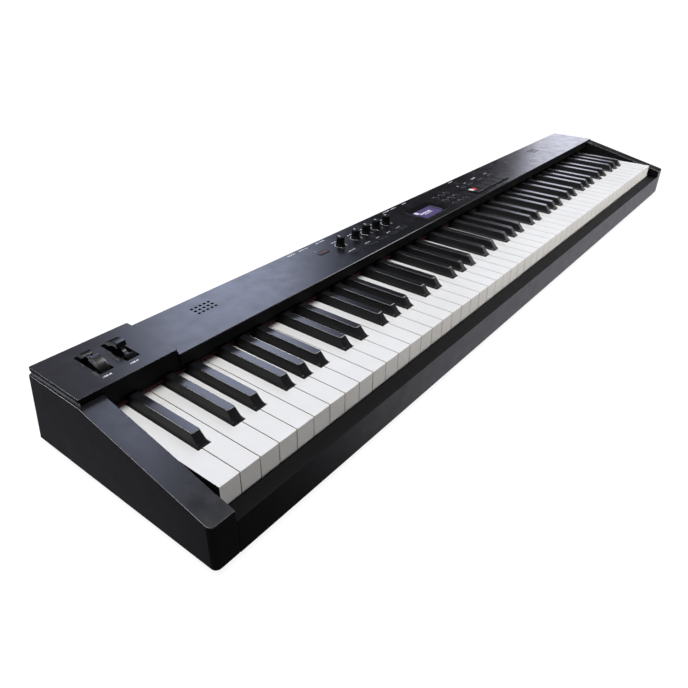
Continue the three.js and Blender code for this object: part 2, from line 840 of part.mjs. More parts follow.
function knobSolid() {
  const skirtTop = knobBottom + knobSkirtHeight;
  const top = knobBottom + knobHeight;
  const body = turned([
    [0, potTop + seatGap],
    [knobShaftRadius, potTop + seatGap],
    [knobShaftRadius, knobBottom],
    [knobSkirtRadius, knobBottom],
    [knobSkirtRadius, skirtTop],
    [knobWaistRadius, skirtTop + knobSkirtHeight],
    [knobTopRadius, top - knobEdge],
    [knobTopRadius - knobEdge, top],
    [0, top],
  ]);
  const flutes = [...Array(knobRibs).keys()].map((i) => {
    const turn = (i * 2 * Math.PI) / knobRibs;
    const reach = knobTopRadius - knobRibDepth;
    const geometry = new THREE.BoxGeometry(knobSkirtRadius, knobRibWidth, knobHeight);
    geometry.translate(reach + knobSkirtRadius / 2, 0, skirtTop + knobSkirtHeight + knobHeight / 2);
    return toSolid(geometry.rotateZ(turn));
  });
  return cutAway(body, flutes);
}
knobs.forEach(({ name, x }) => place(name, knobSolid(), controlFinish, [x, knobY, 0]));

// Display lens: a gloss plate let into the panel, with a flange below it
const lensX = [lensLeft, lensLeft + lensWidth];
const lensY = [panelFrontY + lensFromFront, panelFrontY + lensFromFront + lensDepth];
const lensBottom = flangeTop - lensFlangeThickness;

function displayLens() {
  const plate = prismZ(roundedRect(lensX, lensY, lensCorner), [lensBottom, panelTop + lensProud]);
  const grown = [lensX, lensY].map(([low, high]) => [low - lensFlange, high + lensFlange]);
  return plate.add(box(grown[0], grown[1], [lensBottom, flangeTop]));
}
place("display_lens", displayLens(), glossFinish);

// Display module between the lens and the board, with a sunk window
function displayModule() {
  const left = lensLeft + displayFromLeft;
  const front = lensY[0] + displayFromFront;
  const top = lensBottom - seatGap;
  const body = box([left, left + displayWidth], [front, front + displayDepth], [boardTop + seatGap, top]);
  const window = box(
    around(left + displayWidth / 2, displayWindowWidth),
    around(front + displayDepth / 2, displayWindowDepth),
    [top - displayWindowRecess, top + cutOverrun],
  );
  return body.subtract(window);
}
place("display_module", displayModule(), displayFinish);

// Panel board: switches under the buttons, controls under the knobs, posts up to the panel
function panelBoard() {
  const thick = [boardTop - boardThickness, boardTop];
  const board = box([boardLeft, boardRight], boardY, thick);
  const switchTop = stemBottom - buttonTravel - seatGap;
  const switchZ = [boardTop - boardThickness / 2, switchTop];
  const padPlaces = padY.flatMap((y) => padX.map((x) => [x, y]));
  const places = [...buttons.map(({ x, y }) => [x, panelFrontY + y]), ...padPlaces];
  const switches = places.map(([x, y]) => box(around(x, switchWidth), around(y, switchWidth), switchZ));
  const pots = knobs.map(({ x }) =>
    box(around(x, potWidth), around(knobY, potWidth), [boardTop - boardThickness / 2, potTop]),
  );
  const postY = panelFrontY + postFromFront;
  const postZ = [boardTop - boardThickness / 2, panelBottom - seatGap];
  const postX = postShares.map((share) => boardLeft + share * (boardRight - boardLeft));
  const posts = postX.map((x) => rodZ(postRadius, postZ, x, postY, hingeSteps));
  return join([board, ...switches, ...pots, ...posts]);
}
place("panel_board", panelBoard(), boardFinish);

// The folded front that the panel and the wheel plate share: fascia, return lip and sheet
function foldedSection(front, top, thickness) {
  const lipTop = fasciaBottom + panelThickness;
  return [
    [front, fasciaBottom],
    [front + fasciaLipDepth, fasciaBottom],
    [front + fasciaLipDepth, lipTop],
    [front + thickness, lipTop],
    [front + thickness, top - thickness],
    [panelRearY, top - thickness],
    [panelRearY, top],
    [front + panelEdge, top],
    [front, top - panelEdge],
  ];
}

// Top panel: folded sheet, cut for every control and for the two grilles
function topPanel() {
  const right = halfWidth - panelInset;
  const front = panelFrontY - panelOverhang;
  const sheet = prismX(foldedSection(front, panelTop, panelThickness), [seamX + seatGap, right]);
  const through = [panelBottom - cutOverrun, panelTop + cutOverrun];
  const overEnd = box(
    [innerX - seatGap, right + cutOverrun],
    [front - cutOverrun, rearY],
    [fasciaBottom - cutOverrun, panelBottom],
  );
  const buttonCuts = buttons.map((button) => prismZ(buttonPlan(button, buttonCutClearance), through));
  const padCuts = padY.flatMap((y) =>
    padX.map((x) => rodZ(padRadius + buttonCutClearance, through, x, y, roundSteps)),
  );
  const shaftHole = knobShaftRadius + knobShaftClearance;
  const knobCuts = knobs.map(({ x }) => rodZ(shaftHole, through, x, knobY, roundSteps));
  const grown = [lensX, lensY].map(([low, high]) => [low - seatGap, high + seatGap]);
  const lensCut = prismZ(roundedRect(grown[0], grown[1], lensCorner + seatGap), through);
  const grilles = [-speakerX, speakerX].flatMap((x) => grilleCuts(x, through));
  return cutAway(sheet, [overEnd, ...buttonCuts, ...padCuts, ...knobCuts, lensCut, ...grilles]);
}

function grilleCuts(centreX, through) {
  const cuts = [];
  for (let row = 0; row < grilleRows; row += 1) {
    for (let column = 0; column < grilleColumns; column += 1) {
      const x = centreX + (column - (grilleColumns - 1) / 2) * grillePitchX;
      const y = panelRearY - grilleFromRear + (row - (grilleRows - 1) / 2) * grillePitchY;
      cuts.push(box(around(x, grilleHole), around(y, grilleHole), through));
    }
  }
  return cuts;
}
place("top_panel", topPanel(), panelFinish);

// Wheel plate: a raised tray with a stepped outer side, two wheel slots and the same folded front
const wheelX = [0, 1].map((i) => -halfWidth + wheelFromLeft + i * wheelPitch);

function wheelPlate() {
  const left = -halfWidth + panelInset;
  const inner = -innerX + seatGap;
  const underTop = plateTop - wheelPlateWall;
  const stepZ = panelBottom + wheelPlateStepHeight;
  const ys = [panelFrontY, panelRearY];
  const upper = prismZ(roundedRect([left, seamX], ys, wheelPlateWall), [stepZ, plateTop], panelEdge);
  const lower = box([left + wheelPlateStep, seamX], ys, [panelBottom, stepZ + cutOverrun]);
  const hollow = box(
    [left + wheelPlateStep + wheelPlateWall, seamX - wheelPlateWall],
    [panelFrontY + wheelPlateWall, panelRearY - wheelPlateWall],
    [panelBottom - cutOverrun, underTop],
  );
  const section = foldedSection(panelFrontY, plateTop - panelEdge, wheelPlateWall);
  const fold = prismX(section, [inner, seamX]).intersect(
    box([inner, seamX], [panelFrontY, panelFrontY + fasciaLipDepth], [fasciaBottom, plateTop]),
  );
  const slotY = around(wheelY, wheelSlotLength);
  const slotZ = [underTop - cutOverrun, plateTop + cutOverrun];
  const slots = wheelX.map((x) => box(around(x, wheelSlotWidth), slotY, slotZ));
  return cutAway(join([upper, lower]).subtract(hollow).add(fold), slots);
}
place("wheel_plate", wheelPlate(), caseFinish);

// Wheel: a rim with a sunk web, a thumb notch and stub axles, turned about its own axis
function wheelSolid(notchTurn) {
  const half = wheelWidth / 2;
  const profile = [
    [0, -half + wheelWebDepth],
    [wheelRadius - wheelRimWidth, -half + wheelWebDepth],
    [wheelRadius - wheelRimWidth, -half],
    [wheelRadius - wheelRim, -half],
    [wheelRadius, -half + wheelRim],
    [wheelRadius, half - wheelRim],
    [wheelRadius - wheelRim, half],
    [wheelRadius - wheelRimWidth, half],
    [wheelRadius - wheelRimWidth, half - wheelWebDepth],
    [0, half - wheelWebDepth],
  ];
  const points = profile.map(([r, x]) => new THREE.Vector2(r, x));
  const disc = toSolid(new THREE.LatheGeometry(points, wheelSteps).rotateZ(-Math.PI / 2));
  const axleX = around(0, wheelWidth + 2 * wheelAxleOverhang);
  const axle = rodX(wheelAxleRadius, axleX, 0, 0, hingeSteps);
  const turn = (-notchTurn * Math.PI) / 180;
  const notchCentre = wheelRadius + wheelNotchRadius - wheelNotchDepth;
  const notchY = notchCentre * Math.sin(turn);
  const notchZ = notchCentre * Math.cos(turn);
  const notch = rodX(wheelNotchRadius, around(0, wheelNotchWidth), notchY, notchZ, roundSteps);
  return disc.add(axle).subtract(notch);
}
place("pitch_wheel", wheelSolid(0), controlFinish, [wheelX[0], wheelY, wheelZ]);
place("modulation_wheel", wheelSolid(modulationNotchTurn), controlFinish, [wheelX[1], wheelY, wheelZ]);

// Bracket: four cheeks that the stub axles turn in, on one bar behind the wheels
function wheelBracket() {
  const top = plateTop - wheelPlateWall - seatGap;
  const barY = wheelY + wheelRadius + bracketBarGap;
  const cheekY = [wheelY - cheekFront, barY + bracketBarDepth];
  const cheekZ = [wheelZ - cheekBelowAxle, top];
  const cheekX = wheelX.flatMap((x) => {
    const inner = wheelWidth / 2 + cheekGap;
    return [[x - inner - cheekThickness, x - inner], [x + inner, x + inner + cheekThickness]];
  });
  const cheeks = cheekX.map((xs) => box(xs, cheekY, cheekZ));
  const barX = [cheekX[0][0], cheekX[cheekX.length - 1][1]];
  const bar = box(barX, [barY, barY + bracketBarDepth], [top - bracketBarHeight, top]);
  const boreX = [barX[0] - cutOverrun, barX[1] + cutOverrun];
  return join([bar, ...cheeks]).subtract(rodX(wheelAxleRadius + seatGap, boreX, wheelY, wheelZ, hingeSteps));
}
place("wheel_bracket", wheelBracket(), steelFinish);

// Speakers: flange against the panel, open cone, basket and magnet
const speaker = turned([
  [0, -speakerFlange - speakerBasketDepth - speakerMagnetDepth],
  [speakerMagnetRadius, -speakerFlange - speakerBasketDepth - speakerMagnetDepth],
  [speakerMagnetRadius, -speakerFlange - speakerBasketDepth],
  [speakerThroatRadius, -speakerFlange - speakerBasketDepth],
  [speakerBasketRadius, -speakerFlange],
  [speakerRadius, -speakerFlange],
  [speakerRadius, 0],
  [speakerConeRadius, 0],
  [speakerThroatRadius / 2, -speakerConeDepth],
  [0, -speakerConeDepth],
]);
const speakerY = panelRearY - speakerFromRear;
place("left_speaker", speaker, steelFinish, [-speakerX, speakerY, panelBottom - seatGap]);
place("right_speaker", speaker, steelFinish, [speakerX, speakerY, panelBottom - seatGap]);

export default piano;
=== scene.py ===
import math

import bmesh
import bpy
from mathutils import Matrix, Vector


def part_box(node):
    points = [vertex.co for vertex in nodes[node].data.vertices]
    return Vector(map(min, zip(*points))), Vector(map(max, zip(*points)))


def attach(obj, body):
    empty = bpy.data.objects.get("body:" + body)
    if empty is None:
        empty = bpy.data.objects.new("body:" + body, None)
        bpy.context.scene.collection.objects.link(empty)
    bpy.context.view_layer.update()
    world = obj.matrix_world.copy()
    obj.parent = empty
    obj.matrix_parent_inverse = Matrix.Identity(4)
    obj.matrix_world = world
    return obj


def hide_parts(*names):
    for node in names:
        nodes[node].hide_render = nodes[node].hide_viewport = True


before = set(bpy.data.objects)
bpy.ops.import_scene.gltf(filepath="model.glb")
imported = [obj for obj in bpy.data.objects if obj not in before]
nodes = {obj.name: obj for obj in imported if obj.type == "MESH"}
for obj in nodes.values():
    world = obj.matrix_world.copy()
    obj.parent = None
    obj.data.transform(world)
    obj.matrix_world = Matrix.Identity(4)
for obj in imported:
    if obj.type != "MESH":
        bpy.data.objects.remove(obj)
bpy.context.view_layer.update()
mm = 0.001
print("stage: frame loaded,", len(nodes), "nodes")

# camera at the bass end, in front of the keys and above them
camera = {
    "place": (-832.3, -407.8, 422.2),
    "right": (0.61693, -0.78694, 0.01128),
    "down": (-0.40696, -0.33124, -0.85127),
    "forward": (0.67364, 0.52058, -0.52460),
    "focal": 613.08,
    "frameWidth": 688,
}
camData = bpy.data.cameras.new("camera")
camObject = bpy.data.objects.new("camera", camData)
bpy.context.scene.collection.objects.link(camObject)
right, down, forward = (Vector(camera[k]) for k in ("right", "down", "forward"))
turn = Matrix((right, -down, -forward)).transposed().to_4x4()
camObject.matrix_world = Matrix.Translation(Vector(camera["place"]) * mm) @ turn
camData.sensor_width = 36
camData.lens = camera["focal"] / camera["frameWidth"] * camData.sensor_width
camData.clip_start = 0.05
camData.clip_end = 60
bpy.context.scene.camera = camObject


# ---- small helpers for modelling by hand ----
def deselect():
    if bpy.context.object and bpy.context.object.mode != "OBJECT":
        bpy.ops.object.mode_set(mode="OBJECT")
    bpy.ops.object.select_all(action="DESELECT")


def activate(obj):
    deselect()
    obj.select_set(True)
    bpy.context.view_layer.objects.active = obj


def edit(obj):
    activate(obj)
    bpy.ops.object.mode_set(mode="EDIT")


def leaveEdit():
    bpy.ops.object.mode_set(mode="OBJECT")


def pick(obj, kind, test):
    # selects the faces, edges or vertices whose middle (and normal) pass the test
    bpy.ops.mesh.select_mode(type=kind)
    bpy.ops.mesh.select_all(action="DESELECT")
    bm = bmesh.from_edit_mesh(obj.data)
    if kind == "FACE":
        for f in bm.faces:
            f.select_set(test(f.calc_center_median() / mm, f.normal))
    elif kind == "EDGE":
        for e in bm.edges:
            a, b = e.verts[0].co / mm, e.verts[1].co / mm
            e.select_set(test(a, b))
    else:
        for v in bm.verts:
            v.select_set(test(v.co / mm))
    bm.select_flush_mode()
    bmesh.update_edit_mesh(obj.data)


def settle(obj):
    activate(obj)
    bpy.ops.object.transform_apply(location=True, rotation=True, scale=True)


def block(name, x, y, z):
    # a cube with its two corners given in millimetres
    middle = [(a + b) / 2 * mm for a, b in (x, y, z)]
    size = [(b - a) * mm for a, b in (x, y, z)]
    deselect()
    bpy.ops.mesh.primitive_cube_add(size=1, location=middle, scale=size)
    obj = bpy.context.object
    obj.name = name
    settle(obj)
    return obj


def extrude(x=0, y=0, z=0):
    move = (x * mm, y * mm, z * mm)
    bpy.ops.mesh.extrude_region_move(TRANSFORM_OT_translate={"value": move})


def divide(axis, at):
    # a loop of edges where the plane across the axis meets the mesh
    bpy.ops.mesh.select_all(action="SELECT")
    bpy.ops.mesh.bisect(plane_co=[a * at * mm for a in axis], plane_no=axis)


def facesOut():
    bpy.ops.mesh.select_all(action="SELECT")
    bpy.ops.mesh.normals_make_consistent(inside=False)
    leaveEdit()


def dishInTop(rim, slope, deep):
    # a shallow dish in the picked faces
    bpy.ops.mesh.inset(thickness=rim * mm)
    bpy.ops.mesh.inset(thickness=slope * mm, depth=-deep * mm)


def sweep(name, corners, way):
    deselect()
    bpy.ops.mesh.primitive_circle_add(vertices=len(corners), radius=mm, fill_type="NGON")
    obj = bpy.context.object
    obj.name = name
    for v, corner in zip(obj.data.vertices, corners):
        v.co = Vector(corner) * mm
    edit(obj)
    bpy.ops.mesh.select_all(action="SELECT")
    extrude(*way)
    facesOut()
    return obj


def profileBar(name, points, x0, x1):
    # a side outline of (y, z) points, swept along X
    return sweep(name, [(x0, y, z) for y, z in points], (x1 - x0, 0, 0))


def plateBar(name, points, z0, z1):
    # a plan outline of (x, y) points, swept along Z
    return sweep(name, [(x, y, z0) for x, y in points], (0, 0, z1 - z0))


def turned(name, profile, steps):
    # rings of (radius, height), extruded and resized one after another about the Z axis
    deselect()
    r, z = profile[0]
    bpy.ops.mesh.primitive_circle_add(
        vertices=steps, radius=r * mm, fill_type="NGON", location=(0, 0, z * mm)
    )
    obj = bpy.context.object
    obj.name = name
    settle(obj)
    edit(obj)
    bpy.ops.mesh.select_all(action="SELECT")
    for r2, z2 in profile[1:]:
        extrude(z=z2 - z)
        if r2 != r:
            k = r2 / r
            bpy.ops.transform.resize(value=(k, k, 1), center_override=(0, 0, z2 * mm))
        r, z = r2, z2
    facesOut()
    return obj


def shift(obj, x=0, y=0, z=0):
    obj.data.transform(Matrix.Translation(Vector((x, y, z)) * mm))
    obj.data.update()
    return obj


def spinMesh(obj, angle, axis):
    obj.data.transform(Matrix.Rotation(angle, 4, axis))
    obj.data.update()
    return obj


def copyOf(obj, name, x=0, y=0, z=0):
    new = obj.copy()
    new.data = obj.data.copy()
    new.name = name
    bpy.context.scene.collection.objects.link(new)
    return shift(new, x, y, z)


def apply(obj, kind, **values):
    activate(obj)
    mod = obj.modifiers.new(kind.title(), kind)
    for k, v in values.items():
        setattr(mod, k, v)
    bpy.ops.object.modifier_apply(modifier=mod.name)


def bevel(obj, width, segments=2, angle=32):
    apply(
        obj,
        "BEVEL",
        width=width * mm,
        segments=segments,
        limit_method="ANGLE",
        angle_limit=math.radians(angle),
        use_clamp_overlap=True,
    )


def cut(obj, cutter):
    apply(obj, "BOOLEAN", object=cutter, operation="DIFFERENCE", solver="EXACT")
    bpy.data.objects.remove(cutter)


def fuse(obj, other):
    apply(obj, "BOOLEAN", object=other, operation="UNION", solver="EXACT")
    bpy.data.objects.remove(other)


def joinAll(objs, name):
    deselect()
    for o in objs:
        o.select_set(True)
    bpy.context.view_layer.objects.active = objs[0]
    if len(objs) > 1:
        bpy.ops.object.join()
    objs[0].name = name
    return objs[0]


def smooth(obj):
    # smooth over the eased edges, with the large flat faces kept flat
    activate(obj)
    bpy.ops.object.shade_smooth_by_angle(angle=math.radians(35))
    apply(obj, "WEIGHTED_NORMAL", keep_sharp=True, weight=50)


def paint(obj, material):
    obj.data.materials.clear()
    obj.data.materials.append(material)


def paintFaces(obj, material, test):
    # a second finish on the faces whose middle and normal pass the test
    obj.data.materials.append(material)
    index = len(obj.data.materials) - 1
    for f in obj.data.polygons:
        if test(f.center / mm, f.normal):
            f.material_index = index


def place(obj, body, material, replaces=()):
    paint(obj, material)
    smooth(obj)
    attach(obj, body)
    if replaces:
        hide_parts(*replaces)
    return obj


# ---- materials ----
def newMaterial(name, color, roughness, metallic=0.0):
    material = bpy.data.materials.new(name)
    material.use_nodes = True
    shader = material.node_tree.nodes["Principled BSDF"]
    shader.inputs["Base Color"].default_value = (*color, 1)
    shader.inputs["Roughness"].default_value = roughness
    shader.inputs["Metallic"].default_value = metallic
    return material, material.node_tree, shader


def noise(tree, scale, detail, stretch=None):
    texture = tree.nodes.new("ShaderNodeTexNoise")
    texture.inputs["Scale"].default_value = scale
    texture.inputs["Detail"].default_value = detail
    coords = tree.nodes.new("ShaderNodeTexCoord").outputs["Object"]
    if stretch:
        mapping = tree.nodes.new("ShaderNodeMapping")
        mapping.inputs["Scale"].default_value = stretch
        tree.links.new(coords, mapping.inputs["Vector"])
        coords = mapping.outputs["Vector"]
    tree.links.new(coords, texture.inputs["Vector"])
    return texture.outputs["Fac"]


# the part of a noise texture's range that tones and sheen are spread over
noiseRange = (0.3, 0.7)


def mapRange(tree, value, source, target):
    ramp = tree.nodes.new("ShaderNodeMapRange")
    for socket, v in zip(("From Min", "From Max", "To Min", "To Max"), (*source, *target)):
        ramp.inputs[socket].default_value = v
    tree.links.new(value, ramp.inputs["Value"])
    return ramp


def sheen(tree, shader, value, low, high):
    ramp = mapRange(tree, value, noiseRange, (low, high))
    tree.links.new(ramp.outputs["Result"], shader.inputs["Roughness"])


def tint(tree, shader, value, tones, socket="Base Color"):
    # colour between a dark and a light tone
    ramp = tree.nodes.new("ShaderNodeValToRGB")
    for stop, position, tone in zip(ramp.color_ramp.elements, noiseRange, tones):
        stop.position = position
        stop.color = (*tone, 1)
    tree.links.new(value, ramp.inputs["Fac"])
    tree.links.new(ramp.outputs["Color"], shader.inputs[socket])


def bump(tree, shader, value, distance):
    node = tree.nodes.new("ShaderNodeBump")
    node.inputs["Distance"].default_value = distance * mm
    node.inputs["Strength"].default_value = 1.0
    tree.links.new(value, node.inputs["Height"])
    tree.links.new(node.outputs["Normal"], shader.inputs["Normal"])


def mouldedPlastic(name, dark, light, roughness, grain, depth, gloss):
    # fine spark-eroded grain, with a slow change of sheen and tone
    material, tree, shader = newMaterial(name, dark, roughness)
    tint(tree, shader, noise(tree, 9, 3), (dark, light))
    sheen(tree, shader, noise(tree, 60, 5), roughness - 0.035, roughness + 0.05)
    shader.inputs["Specular IOR Level"].default_value = gloss
    bump(tree, shader, noise(tree, grain, 3), depth)
    return material


# dark and light tone, roughness, grain, depth of the grain, gloss
plastics = {
    "caseBlack": ((0.0065, 0.0063, 0.0075), (0.008, 0.0078, 0.0092), 0.25, 2600, 0.006, 0.5),
    "panelBlack": ((0.006, 0.0058, 0.0075), (0.0075, 0.0072, 0.009), 0.225, 3200, 0.003, 0.5),
    "railBlack": ((0.005, 0.0048, 0.0055), (0.0062, 0.006, 0.0068), 0.3, 2600, 0.008, 0.5),
    # matt black finish, also used as painted shade: darker and duller than the case, put on faces
    # where shade falls
    "matteBlackAndShade": ((0.0018, 0.0017, 0.002), (0.0027, 0.0026, 0.003), 0.6, 2200, 0.012, 0.08),
    "knobBlack": ((0.0018, 0.0018, 0.0021), (0.0028, 0.0028, 0.0032), 0.4, 2000, 0.01, 0.14),
    "buttonBlack": ((0.0042, 0.004, 0.005), (0.0058, 0.0056, 0.0068), 0.32, 2400, 0.006, 0.22),
    "wheelBlack": ((0.003, 0.003, 0.0036), (0.0042, 0.0041, 0.0048), 0.24, 2600, 0.004, 0.5),
    "buttonRed": ((0.03, 0.006, 0.006), (0.04, 0.009, 0.009), 0.35, 2400, 0.006, 0.5),
    "toneGrey": ((0.0036, 0.0044, 0.0046), (0.005, 0.006, 0.0064), 0.3, 2400, 0.006, 0.25),
    # warm key sides, darker than the tops: partly their own tone, partly painted shade in the gaps
    # between keys
    "keySide": ((0.5, 0.44, 0.34), (0.58, 0.52, 0.42), 0.6, 1200, 0.01, 0.5),
    # painted shade: a darker, duller black for sides that sit in shade
    "sharpSide": ((0.0035, 0.0035, 0.004), (0.005, 0.005, 0.0056), 0.42, 1500, 0.004, 0.2),
    "socketBlack": ((0.008, 0.008, 0.008), (0.011, 0.011, 0.011), 0.45, 1800, 0.02, 0.5),
    "rubberBlack": ((0.01, 0.01, 0.01), (0.016, 0.016, 0.016), 0.8, 1200, 0.05, 0.5),
    "trayBlack": ((0.009, 0.009, 0.01), (0.013, 0.013, 0.014), 0.55, 900, 0.05, 0.5),
    "lensBlack": ((0.006, 0.006, 0.008), (0.007, 0.007, 0.009), 0.1, 500, 0.001, 0.5),
    "boardGreen": ((0.012, 0.05, 0.022), (0.02, 0.075, 0.035), 0.4, 400, 0.05, 0.5),
}
plastic = {name: mouldedPlastic(name, *values) for name, values in plastics.items()}


def keyWhite():
    # acrylic key tops: warm white with faint moulding grain and a soft glow in the material
    material, tree, shader = newMaterial("keyWhite", (0.82, 0.81, 0.78), 0.45)
    tint(tree, shader, noise(tree, 12, 3), ((0.80, 0.79, 0.765), (0.855, 0.85, 0.83)))
    sheen(tree, shader, noise(tree, 90, 4), 0.42, 0.5)
    bump(tree, shader, noise(tree, 1800, 2, (1, 0.25, 1)), 0.006)
    shader.inputs["Specular IOR Level"].default_value = 0.35
    shader.inputs["Subsurface Weight"].default_value = 0.04
    shader.inputs["Subsurface Radius"].default_value = (0.0012, 0.0009, 0.0006)
    shader.inputs["Subsurface Scale"].default_value = 1.0
    return material


def keyBlack():
    # matt black sharps with a lengthwise grain like ebony and a soft lavender sheen
    material, tree, shader = newMaterial("keyBlack", (0.008, 0.008, 0.009), 0.25)
    streak = noise(tree, 700, 5, (1, 0.05, 1))
    tint(tree, shader, streak, ((0.0065, 0.0065, 0.0075), (0.0095, 0.0095, 0.011)))
    sheen(tree, shader, streak, 0.19, 0.24)
    shader.inputs["Specular IOR Level"].default_value = 0.65
    bump(tree, shader, streak, 0.001)
    return material


def felt():
    # deep red felt, its tones darkened as painted shade for the shadow under the panel
    material, tree, shader = newMaterial("felt", (0.06, 0.002, 0.007), 0.95)
    fibres = noise(tree, 2600, 6, (1, 1, 0.4))
    tint(tree, shader, fibres, ((0.035, 0.001, 0.004), (0.09, 0.004, 0.012)))
    bump(tree, shader, fibres, 0.25)
    shader.inputs["Sheen Weight"].default_value = 0.25
    shader.inputs["Sheen Roughness"].default_value = 0.5
    return material


def metal(name, dark, light, roughness, grain, stretch):
    material, tree, shader = newMaterial(name, dark, roughness, 1.0)
    streak = noise(tree, grain, 4, stretch)
    tint(tree, shader, streak, (dark, light))
    sheen(tree, shader, streak, roughness - 0.08, roughness + 0.1)
    bump(tree, shader, streak, 0.01)
    return material


def glow(name, color, strength, base=(0.02, 0.02, 0.02), mottle=0.15):
    # a lit plastic or display face, a little uneven in its cells
    material, tree, shader = newMaterial(name, base, 0.25)
    dark = tuple(c * (1 - mottle) for c in color)
    tint(tree, shader, noise(tree, 900, 2), (dark, color), "Emission Color")
    shader.inputs["Emission Strength"].default_value = strength
    return material


def printInk(name, color):
    # screen-printed ink, faintly uneven
    material, tree, shader = newMaterial(name, color, 0.5)
    worn = tuple(c * 0.86 for c in color)
    tint(tree, shader, noise(tree, 1500, 3), (worn, color))
    return material


whiteKey = keyWhite()
blackKey = keyBlack()
redFelt = felt()
ink = printInk("printInk", (0.9, 0.9, 0.92))
greyInk = printInk("greyInk", (0.13, 0.13, 0.14))
plated = metal("plated", (0.42, 0.43, 0.45), (0.56, 0.57, 0.6), 0.3, 400, (0.08, 1, 1))
nickel = metal("nickel", (0.5, 0.49, 0.46), (0.62, 0.61, 0.58), 0.25, 900, (1, 1, 1))
blackened = metal("screwBlack", (0.03, 0.03, 0.032), (0.05, 0.05, 0.053), 0.4, 900, (1, 1, 1))
screenGlow = glow("screenGlow", (0.078, 0.052, 0.185), 1.0, mottle=0.1)
screenInk = glow("screenInk", (0.85, 0.8, 0.95), 1.0)
screenDim = glow("screenDim", (0.06, 0.055, 0.085), 1.0)
litWhite = glow("litWhite", (0.55, 0.53, 0.5), 0.9, base=(0.5, 0.5, 0.48))
litRed = glow("litRed", (0.75, 0.03, 0.05), 1.0, base=(0.3, 0.02, 0.03))
print("stage: materials")

# ---- sizes taken from the frame ----
case = {
    "front": -133.5,
    "rear": 133.5,
    "rearTop": 115.0,
    "bottom": 8.0,
    "shoulder": 93.4,
    "nose": 56.8,
    "inner": 613.5,
    "sideRoom": 0.3,
    "outer": 640.0,
    "panelFront": 31.5,
    "panelTop": 95.3,
    "keyTop": 66.2,
    "keyFront": -112.1,
}


# ---- end blocks ----
endBlocks = {
    # rounded corners in front and behind: radius and steps
    "nose": (6.0, 8),
    "tail": (3.0, 5),
    "cornerReach": 19.0,
    "cornerHeight": 30.0,
    "edge": 0.9,
}


def buildEndBlock(side):
    name = "leftBlock" if side < 0 else "rightBlock"
    outline = [
        (case["front"], case["bottom"]),
        (case["rear"], case["bottom"]),
        (case["rearTop"], case["shoulder"]),
        (case["panelFront"], case["shoulder"]),
        (case["front"], case["nose"]),
    ]
    inner, outer = side * case["inner"], side * case["outer"]
    obj = profileBar(name, outline, inner, outer)

    def atCorner(y):
        return lambda a, b: (
            abs(a.x - outer) < 0.1
            and abs(b.x - outer) < 0.1
            and abs(a.y - y) < endBlocks["cornerReach"]
            and abs(b.y - y) < endBlocks["cornerReach"]
            and abs(a.z - b.z) > endBlocks["cornerHeight"]
        )

    edit(obj)
    corners = ((case["front"], endBlocks["nose"]), (case["rear"], endBlocks["tail"]))
    for y, (radius, steps) in corners:
        pick(obj, "EDGE", atCorner(y))
        bpy.ops.mesh.bevel(offset=radius * mm, segments=steps)
    leaveEdit()
    bevel(obj, endBlocks["edge"], 3)
    node = "left_end_block" if side < 0 else "right_end_block"
    place(obj, "case", plastic["caseBlack"], [node])
    # painted shade: the block's inner face beside the keys is darker and duller than the rest
    paintFaces(obj, plastic["matteBlackAndShade"], lambda c, n: n.x * side < -0.9)


buildEndBlock(-1)
buildEndBlock(1)
print("stage: end blocks")

# ---- front rail ----
rail = {
    "top": 44.9,
    "lip": 2.4,
    "recess": 1.5,
    "wall": 3.0,
    "rear": -114.1,
    "drop": 7.0,
    "edge": 0.25,
}


def buildRail():
    f = case["front"]
    ledge = rail["top"] - rail["recess"]
    outline = [
        (f, case["bottom"]),
        (f + rail["wall"], case["bottom"]),
        (f + rail["wall"], ledge - rail["wall"]),
        (rail["rear"] - rail["wall"], ledge - rail["wall"]),
        (rail["rear"] - rail["wall"], ledge - rail["drop"]),
        (rail["rear"], ledge - rail["drop"]),
        (rail["rear"], ledge),
        (f + rail["lip"], ledge),
        (f + rail["lip"], rail["top"]),
        (f, rail["top"]),
    ]
    reach = case["inner"] - case["sideRoom"]
    obj = profileBar("frontRail", outline, -reach, reach)
    bevel(obj, rail["edge"], 3)
    place(obj, "case", plastic["railBlack"], ["front_rail"])
    lip = f + rail["lip"]

    # painted shade: the lip's top and the ledge behind it are darker and duller, with no highlight
    # on the lip
    def inTheShade(c, n):
        return (c.y > lip - 0.1 and c.z > 20) or c.z > rail["top"] - 0.3

    paintFaces(obj, plastic["matteBlackAndShade"], inTheShade)


buildRail()
print("stage: front rail")

# ---- keys ----
keys = {
    "pitch": 23.5,
    "left": -611.0,
    "count": 52,
    "gap": 1.0,
    "thickness": 16.0,
    "lipDrop": 24.0,
    "lipThickness": 3.5,
    "tail": 88.0,
    "nose": 0.85,
    "edge": 0.25,
    "shifts": {0: -2.4, 1: 2.4, 3: -3.0, 4: 0.0, 5: 3.0},
    "clearance": 0.8,
    "sideDrop": 1.2,
    "sharpFront": -64.6,
    "sharpEnd": 36.5,
    "sharpFoot": 13.6,
    # height over the naturals, half width, setback of the front
    "sharpRings": [(1.0, 6.7, 0.35), (2.0, 6.15, 1.2), (3.2, 5.75, 2.5), (12.0, 4.8, 9.2)],
    "sharpEdge": 0.75,
    "sharpCorner": 2.0,
    "sharpBottom": 54.2,
    # the slim arm: half width, lap under the key, rear end, from and to height
    "arm": (3.6, 4.0, 101.0, 58.0, 64.0),
}


def noteOf(natural):
    return (natural - 2) % 7


def sharpCentre(natural):
    if natural < 0 or natural > keys["count"] - 2:
        return None
    shiftBy = keys["shifts"].get(noteOf(natural))
    return None if shiftBy is None else keys["left"] + (natural + 1) * keys["pitch"] + shiftBy


def setOf(natural):
    return min(max((natural - 2) // 7, 0), 6)


